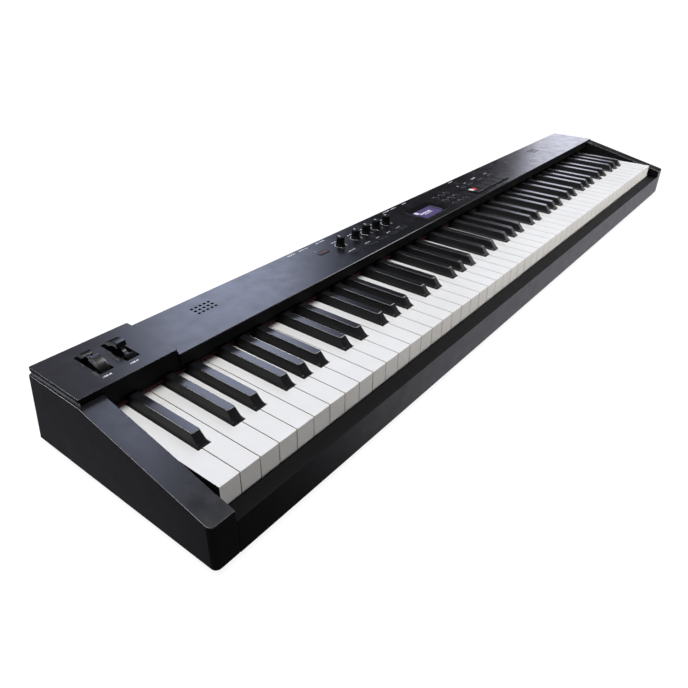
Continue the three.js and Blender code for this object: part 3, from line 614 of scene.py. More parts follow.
def buildNatural(natural):
    # the wide head is a cube, its tail is extruded back between the sharps, its lip down in front
    x0 = keys["left"] + natural * keys["pitch"] + keys["gap"] / 2
    x1 = x0 + keys["pitch"] - keys["gap"]
    top = case["keyTop"]
    low = top - keys["thickness"]
    front = case["keyFront"]
    notch = keys["sharpFront"] - keys["clearance"]
    half = keys["sharpFoot"] / 2 + keys["clearance"]
    before, after = sharpCentre(natural - 1), sharpCentre(natural)
    t0 = x0 if before is None else before + half
    t1 = x1 if after is None else after - half
    obj = block("natural", (x0, x1), (front, notch), (low, top))
    edit(obj)
    for t, edge in ((t0, x0), (t1, x1)):
        if abs(t - edge) > 0.01:
            divide((1, 0, 0), t)
    pick(obj, "FACE", lambda c, n: n.y > 0.9 and t0 < c.x < t1)
    extrude(y=keys["tail"] - notch)
    lip = front + keys["lipThickness"]
    divide((0, 1, 0), lip)
    pick(obj, "FACE", lambda c, n: n.z < -0.9 and c.y < lip)
    extrude(z=keys["thickness"] - keys["lipDrop"])

    def nose(a, b):
        onFront = abs(a.y - front) < 0.05 and abs(b.y - front) < 0.05
        upper = abs(a.z - top) < 0.05 and abs(b.z - top) < 0.05
        side = abs(a.x - b.x) < 0.05 and min(abs(a.x - x0), abs(a.x - x1)) < 0.05
        return onFront and (upper or side)

    pick(obj, "EDGE", nose)
    bpy.ops.mesh.bevel(offset=keys["nose"] * mm, segments=4)
    leaveEdit()
    bevel(obj, keys["edge"], 2, 50)
    return obj


def buildSharp():
    # modelled at x = 0: a cube below the naturals' tops, ringed up and in to the narrow top
    top = case["keyTop"]
    front, end = keys["sharpFront"], keys["sharpEnd"]
    half = keys["sharpFoot"] / 2
    obj = block("sharp", (-half, half), (front, end), (keys["sharpBottom"], top))
    edit(obj)
    pick(obj, "FACE", lambda c, n: n.z > 0.9)
    z, h, f = top, half, front
    for rise, newHalf, setback in keys["sharpRings"]:
        newZ, newFront = top + rise, front + setback
        extrude(z=newZ - z)
        k = (newHalf / h, (end - newFront) / (end - f), 1)
        bpy.ops.transform.resize(value=k, center_override=(0, end * mm, newZ * mm))
        z, h, f = newZ, newHalf, newFront
    # rounded front corners, then the slim arm back to the hinge
    pick(
        obj,
        "EDGE",
        lambda a, b: a.y < end - 1 and b.y < end - 1 and abs(a.z - b.z) > 0.5 and a.x * b.x > 1,
    )
    bpy.ops.mesh.bevel(offset=keys["sharpCorner"] * mm, segments=5)
    leaveEdit()
    bevel(obj, keys["sharpEdge"], 3, 50)
    halfArm, lap, armEnd, armLow, armHigh = keys["arm"]
    arm = block("arm", (-halfArm, halfArm), (end - lap, armEnd), (armLow, armHigh))
    bevel(arm, 0.4, 1)
    fuse(obj, arm)
    return obj


def buildKeys():
    sharp = buildSharp()
    naturals = {}
    for n in range(keys["count"]):
        # one octave is modelled, and the end keys; the rest are copies
        kind = noteOf(n) if 2 <= n < keys["count"] - 1 else 100 + n
        if kind in naturals:
            first, obj = naturals[kind]
            naturals[n + 1000] = (n, copyOf(obj, "natural", (n - first) * keys["pitch"]))
        else:
            naturals[kind] = (n, buildNatural(n))
    bySet = {}
    for n, obj in naturals.values():
        bySet.setdefault(setOf(n), []).append(obj)
    for s in range(7):
        piece = joinAll(bySet[s], f"whiteKeys{s + 1}")
        place(piece, f"naturals_{s + 1}", whiteKey, [f"naturals_{s + 1}"])
        low, left = case["keyTop"] - keys["sideDrop"], keys["left"] + 1
        # painted shade: the key sides below the tops are darker, for the shade in the gaps between
        # keys
        paintFaces(piece, plastic["keySide"], lambda c, n: abs(n.x) > 0.9 and c.z < low)
        # painted shade: the outermost key's left side, beside the end block, is made dark
        paintFaces(piece, plastic["sharpSide"], lambda c, n: n.x < -0.6 and c.x < left)
        centres = [sharpCentre(n) for n in range(keys["count"]) if setOf(n) == s]
        copies = [copyOf(sharp, "sharp", x) for x in centres if x is not None]
        piece = joinAll(copies, f"blackKeys{s + 1}")
        place(piece, f"sharps_{s + 1}", blackKey, [f"sharps_{s + 1}"])
        # painted shade: the sharps' sides are darker and duller than their tops
        paintFaces(piece, plastic["sharpSide"], lambda c, n: abs(n.x) > 0.75 and n.z < 0.5)
    bpy.data.objects.remove(sharp)


buildKeys()
print("stage: keys")

# ---- felt strip, with the dark strip that holds it and also stands in as painted shade under the panel ----
feltStrip = {
    "half": 611,
    "y": (37.8, 41.2),
    "z": (67.2, 71.4),
    "holderTop": 81.7,
    "holderAndShadeFront": 38.4,
    "edge": 1.1,
    "step": 25,
}


def buildFelt():
    half = feltStrip["half"]
    obj = block("feltStrip", (-half, half), feltStrip["y"], feltStrip["z"])
    edit(obj)
    for x in range(-600, half, feltStrip["step"]):
        divide((1, 0, 0), x)
    leaveEdit()
    bevel(obj, feltStrip["edge"], 3)
    place(obj, "case", redFelt, ["key_felt"])
    y = (feltStrip["holderAndShadeFront"], feltStrip["y"][1])
    z = (feltStrip["z"][1] + 0.05, feltStrip["holderTop"])
    # painted shade: a matt black strip above the felt, hiding most of it as the shade under the
    # panel would
    holderAndShade = block("feltHolderAndShade", (-half, half), y, z)
    bevel(holderAndShade, 0.4, 2)
    place(holderAndShade, "case", plastic["matteBlackAndShade"], ["key_felt"])


buildFelt()
print("stage: felt")

# ---- wheel plate ----
wheelPlate = {
    "x": (-638.0, -530.0),
    "rear": 114.5,
    "top": 101.1,
    "under": 98.9,
    "step": 96.7,
    "base": 93.7,
    # the lower step's distance in from the left side, and from front and rear
    "inset": (1.2, 0.5),
    "slotX": (-595.7, -566.7),
    "slotY": (51.3, 95.3),
    "slotWidth": 15.5,
    "slotCorner": 0.9,
    # the hollow's distance from the left side, and from the other three
    "hollow": (3.4, 2.2),
    "fold": [(31.5, 82.0), (41.5, 82.0), (41.5, 83.6), (33.7, 83.6), (33.7, 98.0), (31.5, 98.0)],
    "corner": 2.2,
    "edge": 0.75,
}


def roundedPlan(x0, x1, y0, y1, r, steps=5):
    points = []
    left, right, low, high = x0 + r, x1 - r, y0 + r, y1 - r
    for cx, cy, a0 in ((right, low, -90), (right, high, 0), (left, high, 90), (left, low, 180)):
        for i in range(steps + 1):
            a = math.radians(a0 + 90 * i / steps)
            points.append((cx + r * math.cos(a), cy + r * math.sin(a)))
    return points


def buildWheelPlate():
    w = wheelPlate
    y0, y1 = case["panelFront"], w["rear"]
    x0, x1 = w["x"]
    upper = plateBar("wheelPlate", roundedPlan(x0, x1, y0, y1, w["corner"]), w["step"], w["top"])
    bevel(upper, w["edge"], 3)
    left, ends = w["inset"]
    z = (w["base"], w["step"] + 1)
    fuse(upper, block("lower", (x0 + left, x1), (y0 + ends, y1 - ends), z))
    left, wall = w["hollow"]
    z = (w["base"] - 1, w["under"])
    cut(upper, block("hollow", (x0 + left, x1 - wall), (y0 + wall, y1 - wall), z))
    for x in w["slotX"]:
        s = w["slotWidth"] / 2
        plan = roundedPlan(x - s, x + s, *w["slotY"], w["slotCorner"], 3)
        cut(upper, plateBar("slot", plan, w["under"] - 1, w["top"] + 1))
    fuse(upper, profileBar("fold", w["fold"], -case["inner"] + case["sideRoom"], x1))
    place(upper, "case", plastic["panelBlack"], ["wheel_plate"])
    # painted shade: the plate's front faces and fold below its top edge are darker and duller
    paintFaces(upper, plastic["matteBlackAndShade"], lambda c, n: c.z < 100.5 and n.y < -0.7 and c.y < 45)


buildWheelPlate()
print("stage: wheel plate")

# ---- wheels ----
wheels = {
    "y": 73.3,
    "z": 89.8,
    "radius": 22.5,
    "width": 10.8,
    "notchRadius": 8.8,
    "notchDepth": 6.8,
    "notchReach": 9.0,
    "rimEdge": (0.9, 0.25),
    # the sunk web: its two distances from the rim, and half its height
    "web": (5.0, 4.6, 3.5),
    "axle": 2.5,
    "axleOver": 5.25,
}


def buildWheel(name, body, x, notchTurn):
    w = wheels
    r, half = w["radius"], w["width"] / 2
    wide, narrow = w["rimEdge"]
    rim = [(r - wide, -half), (r - narrow, -half + narrow), (r, -half + wide)]
    rim += [(u, -v) for u, v in reversed(rim)]
    obj = turned(name, rim, 96)
    lowIn, highIn, deep = w["web"]
    for side in (-1, 1):  # sunk web on both faces
        z = side * half
        cut(obj, turned("web", [(r - lowIn, z - deep), (r - highIn, z + deep)], 64))
    curve, long = w["notchRadius"], w["notchReach"]
    thumb = turned("thumb", [(curve, -long), (curve, long)], 48)
    shift(thumb, r + curve - w["notchDepth"])
    spinMesh(thumb, math.radians(notchTurn), "Z")
    cut(obj, thumb)
    reach = half + w["axleOver"]
    fuse(obj, turned("axle", [(w["axle"], -reach), (w["axle"], reach)], 24))
    # stand the wheel up: its axis to X, its +X side to the top
    obj.data.transform(Matrix(((0, 0, 1, 0), (0, 1, 0, 0), (1, 0, 0, 0), (0, 0, 0, 1))))
    edit(obj)
    facesOut()
    shift(obj, x, w["y"], w["z"])
    place(obj, body, plastic["wheelBlack"], [body])


pitchX, modulationX = wheelPlate["slotX"]
buildWheel("pitchWheel", "pitch_wheel", pitchX, 10)
buildWheel("modulationWheel", "modulation_wheel", modulationX, -31)
print("stage: wheels")

# ---- knobs ----
knobs = {
    "y": 80.2,
    # body: piece and place along X
    "places": {
        "volume_knob": ("volumeKnob", -211.5),
        "effect_knob_1": ("firstKnob", -177.0),
        "effect_knob_2": ("secondKnob", -152.0),
        "effect_knob_3": ("thirdKnob", -127.0),
        "effect_knob_4": ("fourthKnob", -102.0),
    },
    "stemBottom": 88.3,
    "bottom": 96.0,
    "height": 12.0,
    # radius and height over the bottom, then radius and depth under the top
    "skirt": [(3.0, 0.0), (6.3, 0.0), (6.4, 0.2), (6.4, 1.0), (6.1, 1.5), (5.85, 2.1), (5.7, 2.8)],
    "crown": [(5.45, 0.9), (5.3, 0.35), (4.9, 0.0)],
    # the dish in the top: rim, slope and depth
    "dish": (0.5, 0.3, 0.18),
    # the grip's flutes: number, radius, place from the axis, start over the bottom
    "flutes": (20, 0.42, 5.7, 3.0),
    # their upper ends: depth under the top where they narrow, and of their tips, and tip radius
    "fluteTip": (0.8, 0.4, 0.15),
    # the pointer's spans across and along, and from and to height at the top
    "pointer": ((-0.65, 0.65), (0.8, 4.8), (-0.25, 0.06)),
}


def buildKnob(name, body, x):
    b = knobs["bottom"]
    t = b + knobs["height"]
    skirt = [(r, b + up) for r, up in knobs["skirt"]]
    crown = [(r, t - down) for r, down in knobs["crown"]]
    obj = turned(name, [(skirt[0][0], knobs["stemBottom"])] + skirt + crown, 60)
    # shallow dish in the top, and narrow grip flutes round the side
    edit(obj)
    pick(obj, "FACE", lambda c, n: n.z > 0.9 and c.z > t - 0.1)
    dishInTop(*knobs["dish"])
    leaveEdit()
    count, r, waist, foot = knobs["flutes"]
    narrows, ends, tip = knobs["fluteTip"]
    cutters = []
    for i in range(count):
        flute = turned("flute", [(r, b + foot), (r, t - narrows), (tip, t - ends)], 8)
        shift(flute, waist)
        cutters.append(spinMesh(flute, 2 * math.pi * (i + 0.5) / count, "Z"))
    cut(obj, joinAll(cutters, "flutes"))
    shift(obj, x, knobs["y"])
    place(obj, body, plastic["knobBlack"], [body])
    across, along, (low, high) = knobs["pointer"]
    pointer = block(name + "Pointer", across, along, (t + low, t + high))
    bevel(pointer, 0.04, 1)
    shift(pointer, x, knobs["y"])
    place(pointer, body, ink)


for body, (name, x) in knobs["places"].items():
    buildKnob(name, body, x)
print("stage: knobs")

# ---- push buttons ----
buttons = {
    "small": {"proud": 1.0, "corner": 1.1, "edge": 0.35, "material": "buttonBlack"},
    "voice": {"proud": 2.2, "corner": 1.0, "edge": 0.3, "material": "toneGrey"},
    "red": "left_button",
    # the small buttons' finger dish: rim, slope and depth
    "dish": (0.45, 0.5, 0.16),
    # the voice buttons' wide caps, round the button's middle, over their necks
    "capX": (-11.9, 9.2),
    "capY": (-11.4, 9.6),
    "capUnder": 96.3,
    "neckInset": 0.3,
    # the first voice button shines through two windows in its cap, and has a light line
    "litBody": "voice_button_1",
    "lit": {
        "White": (117.0, 124.6, 51.8, 60.9),
        "Red": (124.6, 131.0, 50.6, 59.0),
        "Line": (124.5, 137.6, 40.7, 41.5),
    },
    "flange": 1.3,
    "flangeTop": 93.4,
    "flangeBottom": 92.2,
    "stem": 1.5,
    "stemBottom": 86.4,
    # kind, y, length, depth, and the places along X
    "rows": [
        ("small", 82.3, 18.0, 6.4, {"left_button": -245.5}),
        ("small", 51.8, 17.0, 6.6, {
            "volume_button": -213.2,
            "effect_button_1": -177.0,
            "effect_button_2": -152.0,
            "effect_button_3": -127.0,
            "effect_button_4": -102.0,
        }),
        ("small", 78.3, 17.0, 5.2, {
            "mode_button_1": 128.5,
            "mode_button_2": 153.0,
            "mode_button_3": 189.5,
            "mode_button_4": 226.5,
        }),
        ("voice", 51.7, 21.5, 15.5, {
            "voice_button_1": 128.5,
            "voice_button_2": 153.0,
            "voice_button_3": 177.5,
            "voice_button_4": 202.0,
            "voice_button_5": 226.5,
        }),
    ],
}


def eachButton():
    for kind, y, length, depth, places in buttons["rows"]:
        for body, x in places.items():
            yield body, kind, x, y, length, depth


def addStem(obj, x=0):
    s = buttons["stem"]
    z = (buttons["stemBottom"], buttons["flangeBottom"] + 0.6)
    fuse(obj, block("stem", (x - s, x + s), (-s, s), z))


def smallCap(name, half, deep, top):
    k = buttons["small"]
    plan = roundedPlan(-half, half, -deep, deep, k["corner"], 4)
    cap = plateBar(name, plan, buttons["flangeBottom"], top)
    bevel(cap, k["edge"], 3)
    edit(cap)
    pick(cap, "FACE", lambda c, n: n.z > 0.95 and c.z > top - 0.1)
    dishInTop(*buttons["dish"])
    leaveEdit()
    return cap


def voiceCap(name, half, deep, top):
    k = buttons["voice"]
    x0, x1 = buttons["capX"]
    under = buttons["capUnder"]
    wide = plateBar("cap", roundedPlan(x0, x1, *buttons["capY"], k["corner"], 4), under, top)
    bevel(wide, k["edge"], 3)
    neck = roundedPlan(-half, x1 - buttons["neckInset"], -deep, deep, k["corner"], 4)
    cap = plateBar(name, neck, buttons["flangeBottom"], under + 0.3)
    fuse(cap, wide)
    return cap


def buildButton(body, kind, x, y, length, depth):
    top = case["panelTop"] + buttons[kind]["proud"]
    name = "".join(w.title() for w in body.split("_"))
    name = name[0].lower() + name[1:]
    half, deep = length / 2, depth / 2
    cap = (voiceCap if kind == "voice" else smallCap)(name, half, deep, top)
    wide, tall = half + buttons["flange"], deep + buttons["flange"]
    z = (buttons["flangeBottom"], buttons["flangeTop"])
    fuse(cap, block("flange", (-wide, wide), (-tall, tall), z))
    addStem(cap)
    shift(cap, x, y)
    finish = "buttonRed" if body == buttons["red"] else buttons[kind]["material"]
    place(cap, body, plastic[finish], [body])
    if body == buttons["litBody"]:
        for part, material in (("White", litWhite), ("Red", litRed), ("Line", greyInk)):
            x0, x1, y0, y1 = buttons["lit"][part]
            window = block(name + part, (x0, x1), (y0, y1), (top - 0.4, top + 0.02))
            bevel(window, 0.05, 1)
            place(window, body, material)


for entry in eachButton():
    buildButton(*entry)
print("stage: buttons")

# ---- round pads beside the display ----
pads = {
    "x": (51.0, 68.0, 85.0),
    "y": (45.0, 64.0, 83.0),
    "radius": 3.3,
    "proud": 1.0,
    "web": 2.5,
    # eased edge and shallow dish: distance in from the edge, and depth under the top
    "edge": [(0, 0.55), (0.15, 0.2), (0.45, 0.0), (0.9, 0.02), (1.3, 0.18), (2.2, 0.28)],
}


def buildPadRow(i, y):
    top = case["panelTop"] + pads["proud"]
    r, half = pads["radius"], pads["web"]
    low = buttons["flangeBottom"]
    reach = (pads["x"][0] - r, pads["x"][-1] + r)
    web = block("web", reach, (-half, half), (low, buttons["flangeTop"]))
    for x in pads["x"]:
        cap = turned("cap", [(r, low + 0.1)] + [(r - u, top - v) for u, v in pads["edge"]], 40)
        fuse(web, shift(cap, x))
        addStem(web, x)
    shift(web, 0, y)
    row = i + 1
    web.name = f"padRow{row}"
    place(web, f"pad_row_{row}", plastic["buttonBlack"], [f"pad_row_{row}"])


for i, y in enumerate(pads["y"]):
    buildPadRow(i, y)
print("stage: pads")


# ---- sheet and shell pieces: the frame's own shape, cleaned and with eased edges ----
def easedCopy(node, name, width, segments):
    obj = nodes[node].copy()
    obj.data = nodes[node].data.copy()
    obj.name = name
    for c in list(obj.users_collection):
        c.objects.unlink(obj)
    bpy.context.scene.collection.objects.link(obj)
    for key in list(obj.keys()):
        del obj[key]
    obj.data.materials.clear()
    edit(obj)
    bpy.ops.mesh.select_all(action="SELECT")
    bpy.ops.mesh.remove_doubles(threshold=0.002 * mm)
    bpy.ops.mesh.dissolve_limited(angle_limit=math.radians(1))
    leaveEdit()
    bevel(obj, width, segments)
    return obj


# the fold over the keys and the walls of the grilles' slots get the darker, duller black: partly a
# matt fold, partly painted shade
panel = {"edge": 0.32, "foldRear": 45.0, "foldTop": 94.8, "grilleX": 450.0, "grilleHalf": 16.0}


def buildPanel():
    p = panel
    obj = easedCopy("top_panel", "topPanel", p["edge"], 3)
    place(obj, "case", plastic["panelBlack"], ["top_panel"])

    # painted shade: the fold and the slot walls are darker and duller than the panel
    def matt(c, n):
        fold = n.y < -0.5 and c.y < p["foldRear"] and c.z < p["foldTop"]
        return fold or (abs(n.z) < 0.3 and abs(abs(c.x) - p["grilleX"]) < p["grilleHalf"])

    paintFaces(obj, plastic["matteBlackAndShade"], matt)


buildPanel()
print("stage: top panel")

# ---- rear panel and floor tray ----
rear = {
    "edge": 0.35,
    "trayEdge": 0.5,
    "connectorZ": 32.0,
    "markZ": 45.0,
    # radius of the bore, radius of the nut, height of its collar, and the places along X
    "rings": [
        (3.4, 4.4, 0.95, (-281.0,)),
        (3.8, 5.9, 1.9, (-66.0, -41.0, -16.0, 128.0, 153.0)),
    ],
    # the nut's edge: distance in from its radius, and height; then the collar's distance in
    "nutEdge": [(0, 0.5), (0, 0.8), (0.35, 0.95), (0.7, 0.95)],
    "collarIn": 0.8,
    # place along X, half width and half height of the socket's metal shell
    "shells": [(-256.0, 4.35, 4.35), (-221.0, 6.35, 2.75)],
    "shellWall": 0.55,
    # width of the mark, and the places along X
    "marks": [
        (9.0, (-310.0,)),
        (11.0, (-281.0,)),
        (14.0, (-256.0,)),
        (16.0, (-221.0,)),
        (12.0, (-66.0, -41.0, -16.0)),
        (9.0, (128.0, 153.0)),
    ],
    "markBar": (1.55, 1.15, 0.7),
    "screwX": (-590.0, -440.0, -160.0, 60.0, 240.0, 420.0, 590.0),
    "screwZ": (17.5, 84.0),
    "baseY": (-118.0, 118.0),
    "blockX": 627.0,
    "screw": [(3.1, 0.0), (3.1, 0.45), (2.8, 0.85), (2.0, 1.15), (1.2, 1.25)],
    "cross": (1.5, 0.28),
}


def rearY(z):
    share = (z - case["bottom"]) / (case["shoulder"] - case["bottom"])
    return case["rear"] + share * (case["rearTop"] - case["rear"])


def ontoRear(obj, x, z):
    # stands a piece modelled upright on the leaning rear sheet
    lean = math.atan2(case["rear"] - case["rearTop"], case["shoulder"] - case["bottom"])
    obj.data.transform(Matrix.Rotation(math.pi, 4, "Z"))
    obj.data.transform(Matrix.Rotation(lean - math.pi / 2, 4, "X"))
    return shift(obj, x, rearY(z), z)


def buildConnectors():
    k, z = rear, rear["connectorZ"]
    parts = []
    for bore, nut, tall, places in k["rings"]:
        outline = [(nut - u, v) for u, v in k["nutEdge"]] + [(nut - k["collarIn"], tall)]
        for x in places:
            ring = turned("ring", outline, 36)
            cut(ring, turned("hole", [(bore, -1), (bore, 4)], 36))
            parts.append(ontoRear(ring, x, z))
    for x, wide, tall in k["shells"]:
        u, v = wide + k["shellWall"], tall + k["shellWall"]
        shell = plateBar("shell", roundedPlan(-u, u, -v, v, 0.9, 3), 0.45, 0.85)
        cut(shell, block("hole", (-wide, wide), (-tall, tall), (-1, 2)))
        parts.append(ontoRear(shell, x, z))
    place(joinAll(parts, "connectorRings"), "case", nickel)


def buildRearMarks():
    step, full, slim = rear["markBar"]
    marks = []
    for wide, places in rear["marks"]:
        for x in places:
            for i in range(int(wide / step)):
                u = -wide / 2 + i * step
                reach = (u, u + (full if i % 3 else slim))
                bar = block("bar", reach, (-0.9, 0.9 if i % 2 else 0.5), (-0.05, 0.03))
                marks.append(ontoRear(bar, x, rear["markZ"]))
    place(joinAll(marks, "rearPrint"), "case", ink)


def buildScrews():
    # pan heads with a cross recess, in the rear sheet and under the case
    k = rear
    screw = turned("screw", k["screw"], 24)
    a, b = k["cross"]
    for u, v in ((a, b), (b, a)):
        cut(screw, block("slot", (-u, u), (-v, v), (0.55, 2.0)))
    heads = []
    for x in k["screwX"]:
        heads += [ontoRear(copyOf(screw, "screw"), x, z) for z in k["screwZ"]]
    spinMesh(screw, math.pi, "X")
    for x in k["screwX"] + (-k["blockX"], k["blockX"]):
        heads += [copyOf(screw, "screw", x, y, case["bottom"]) for y in k["baseY"]]
    bpy.data.objects.remove(screw)
    place(joinAll(heads, "caseScrews"), "case", blackened)


def buildRear():
    sheet = easedCopy("rear_panel", "rearPanel", rear["edge"], 2)
    place(sheet, "case", plastic["caseBlack"], ["rear_panel"])
    tray = easedCopy("bottom_chassis", "floorTray", rear["trayEdge"], 2)
    place(tray, "case", plastic["trayBlack"], ["bottom_chassis"])
    buildConnectors()
    buildRearMarks()
    buildScrews()


buildRear()
print("stage: rear")

# ---- feet: ribbed rubber pads with a screw hole ----
feet = {
    "x": 560.0,
    "y": 95.5,
    "top": 13.0,
    # radius and height, down the side, across the sole and up the screw hole
    "outline": [
        (12.9, 6.6), (12.3, 6.2), (12.3, 5.6), (12.6, 5.2), (11.7, 0.9), (11.3, 0.25), (10.7, 0.0),
        (7.3, 0.0), (6.9, 0.3), (6.4, 1.1), (3.0, 1.15), (2.4, 1.5), (2.2, 3.4),
    ],
}


def buildFeet():
    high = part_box("foot_1")[1].z / mm
    foot = turned("foot", [(feet["top"], high)] + feet["outline"], 56)
    corners = [(-1, -1), (1, -1), (-1, 1), (1, 1)]
    for i, (across, along) in enumerate(corners):
        piece = copyOf(foot, f"foot{i + 1}", across * feet["x"], along * feet["y"])
        place(piece, "case", plastic["rubberBlack"], [f"foot_{i + 1}"])
    bpy.data.objects.remove(foot)


buildFeet()
print("stage: feet")

# ---- display: a gloss lens with a shallow lit window ----
display = {
    "x": (-46.0, 21.5),
    "y": (42.3, 85.8),
    "corner": 2.0,
    "edge": 0.3,
    "window": (-43.5, 4.0, 44.0, 72.0),
    "sideWindow": (4.6, 10.5, 48.0, 72.0),
    "pocket": 0.25,
    # shown on the screen: a bright field, and lines of bars with their pitch
    "bright": [(-41.0, -34.0, 63.0, 71.0)],
    "lines": [(-38.0, -7.0, 57.9, 62.3, 2.3), (-32.0, -9.0, 54.2, 56.0, 1.6)],
    "barEdge": 0.02,
}


def buildDisplay():
    d = display
    low, high = (v.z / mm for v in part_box("display_lens"))
    lens = plateBar("displayLens", roundedPlan(*d["x"], *d["y"], d["corner"]), low, high)
    bevel(lens, d["edge"], 3)
    floor = high - d["pocket"]
    for x0, x1, y0, y1 in (d["window"], d["sideWindow"]):
        cut(lens, block("pocket", (x0, x1), (y0, y1), (floor, high + 1)))
    place(lens, "case", plastic["lensBlack"], ["display_lens"])

    def onFloor(window):
        x0, x1, y0, y1 = window
        return (
            lambda c, n: n.z > 0.9
            and abs(c.z - floor) < 0.02
            and x0 < c.x < x1
            and y0 < c.y < y1
        )

    paintFaces(lens, screenGlow, onFloor(d["window"]))
    paintFaces(lens, screenDim, onFloor(d["sideWindow"]))
    z = (floor - 0.02, floor + 0.05)
    bars = [block("bar", (x0, x1), (y0, y1), z) for x0, x1, y0, y1 in d["bright"]]
    for x0, x1, y0, y1, pitch in d["lines"]:
        for i in range(int((x1 - x0) / pitch)):
            tall = y1 if i % 3 else y1 - 0.25 * (y1 - y0)
            wide = pitch * (0.72 if i % 4 else 0.5)
            x = x0 + i * pitch
            bars.append(block("bar", (x, x + wide), (y0, tall), z))
    shown = joinAll(bars, "displayBars")
    bevel(shown, d["barEdge"], 1)
    place(shown, "case", screenInk)


buildDisplay()
print("stage: display")

# ---- printed marks on the panel and the wheel plate ----
prints = {
    "lift": 0.03,
    "sunk": 0.05,
    "ring": {"radius": 7.9, "width": 0.5, "turn": 140, "steps": 36, "tick": 1.2, "tickHalf": 0.45},
    # rows of small bars: level, y of the lower edge, height, and the spans along X
    "rows": [
        ("panel", 92.9, 2.0, [(-216.0, -204.0), (-179.0, -169.0), (-157.0, -144.0)]),
        ("panel", 92.9, 2.0, [(-132.0, -119.0), (-107.0, -94.0)]),
        ("panel", 56.6, 1.9, [(-222.7, -205.8), (-185.7, -171.9), (-158.9, -151.1)]),
        ("panel", 56.6, 1.9, [(-133.6, -123.4), (-108.5, -99.0)]),
        ("panel", 108.2, 2.2, [(-288.0, -271.0), (-266.0, -247.0), (-231.0, -211.0)]),
        ("panel", 108.2, 2.2, [(-69.0, -51.0), (-48.0, -34.0), (-15.0, -4.0), (134.0, 149.0)]),
        ("panel", 91.0, 2.2, [(-252.0, -250.0)]),
        ("panel", 86.2, 1.9, [(125.5, 133.0)]),
        ("panel", 86.0, 1.9, [(149.5, 158.5)]),
        ("panel", 87.8, 3.4, [(181.0, 198.0)]),
        ("panel", 86.2, 2.0, [(227.0, 238.0)]),
        ("panel", 62.1, 1.8, [(148.0, 156.0), (171.8, 179.4), (196.0, 204.2), (222.0, 230.0)]),
        ("plate", 43.9, 2.4, [(-604.0, -594.6), (-574.7, -565.4)]),
    ],
    "barWidth": 1.15,
    "barGap": 0.4,
    # beside each pad: place from its middle, width and height
    "padMark": (-4.6, 4.6, 1.9, 1.3),
    "outline": {"grow": 0.8, "padGrow": 0.75, "width": 0.28, "corner": 1.4},
}


def printRows(bar):
    wide = prints["barWidth"]
    step = wide + prints["barGap"]
    for level, y, height, spans in prints["rows"]:
        for x0, x1 in spans:
            for i in range(int((x1 - x0) / step)):
                x = x0 + i * step
                reach = wide * (1 if i % 3 else 0.6)
                bar(level, (x, x + reach), (y, y + height * (1 if i % 2 else 0.8)))


def knobRing(parts, bar, x, y, z):
    # an open ring round a knob, with a mark at each end of its turn
    ring = prints["ring"]
    r, half, turn, steps = ring["radius"], ring["width"] / 2, ring["turn"], ring["steps"]
    angles = [math.radians(90 + turn - 2 * turn * i / steps) for i in range(steps + 1)]
    plan = [(x + (r + half) * math.cos(a), y + (r + half) * math.sin(a)) for a in angles]
    angles.reverse()
    plan += [(x + (r - half) * math.cos(a), y + (r - half) * math.sin(a)) for a in angles]
    parts.append(plateBar("arc", plan, *z))
    far, t = r + ring["tick"], ring["tickHalf"]
    for a in (angles[-1], angles[0]):
        u, v = x + far * math.cos(a), y + far * math.sin(a)
        bar("panel", (u - t, u + t), (v - t, v + t))


def controlOutlines(z):
    # thin frames round the small buttons and the pads
    edge = prints["outline"]
    line, corner = edge["width"], edge["corner"]
    through = (z[0] - 1, z[1] + 1)
    frames = []
    for body, kind, x, y, length, depth in eachButton():
        if kind == "small":
            u, v = length / 2 + edge["grow"], depth / 2 + edge["grow"]
            a, b = u + line, v + line
            outer = roundedPlan(x - a, x + a, y - b, y + b, corner + line)
            frameBar = plateBar("frame", outer, *z)
            inner = roundedPlan(x - u, x + u, y - v, y + v, corner)
            cut(frameBar, plateBar("hole", inner, *through))
            frames.append(frameBar)
    r = pads["radius"] + edge["padGrow"]
    for x in pads["x"]:
        for y in pads["y"]:
            ringBar = turned("ring", [(r + line, z[0]), (r + line, z[1])], 32)
            cut(ringBar, turned("hole", [(r, through[0]), (r, through[1])], 32))
            frames.append(shift(ringBar, x, y))
    return frames


def buildPrints():
    levels = {"panel": case["panelTop"], "plate": wheelPlate["top"]}
    pieces = {"panel": [], "plate": []}

    def heights(level):
        return levels[level] - prints["sunk"], levels[level] + prints["lift"]

    def bar(level, x, y):
        pieces[level].append(block("bar", x, y, heights(level)))

    printRows(bar)
    z = heights("panel")
    for name, x in knobs["places"].values():
        knobRing(pieces["panel"], bar, x, knobs["y"], z)
    dx, dy, wide, tall = prints["padMark"]
    for x in pads["x"]:
        for y in pads["y"]:
            bar("panel", (x + dx, x + dx + wide), (y + dy, y + dy + tall))
    place(joinAll(controlOutlines(z), "buttonOutlines"), "case", greyInk)
    for level, parts in pieces.items():
        place(joinAll(parts, level + "Print"), "case", ink)


buildPrints()
print("stage: printed marks")

# ---- CAD pieces that keep their shape ----
for node, material in {
    "key_frame": plated,
    "display_module": screenGlow,
    "left_speaker": plastic["matteBlackAndShade"],
    "right_speaker": plastic["matteBlackAndShade"],
    "wheel_bracket": plated,
    "panel_board": plastic["boardGreen"],
    "jack_board": plastic["socketBlack"],
    "power_button": plastic["buttonBlack"],
}.items():
    nodes[node].data.materials.clear()
    nodes[node].data.materials.append(material)
print("stage: carried-over pieces")

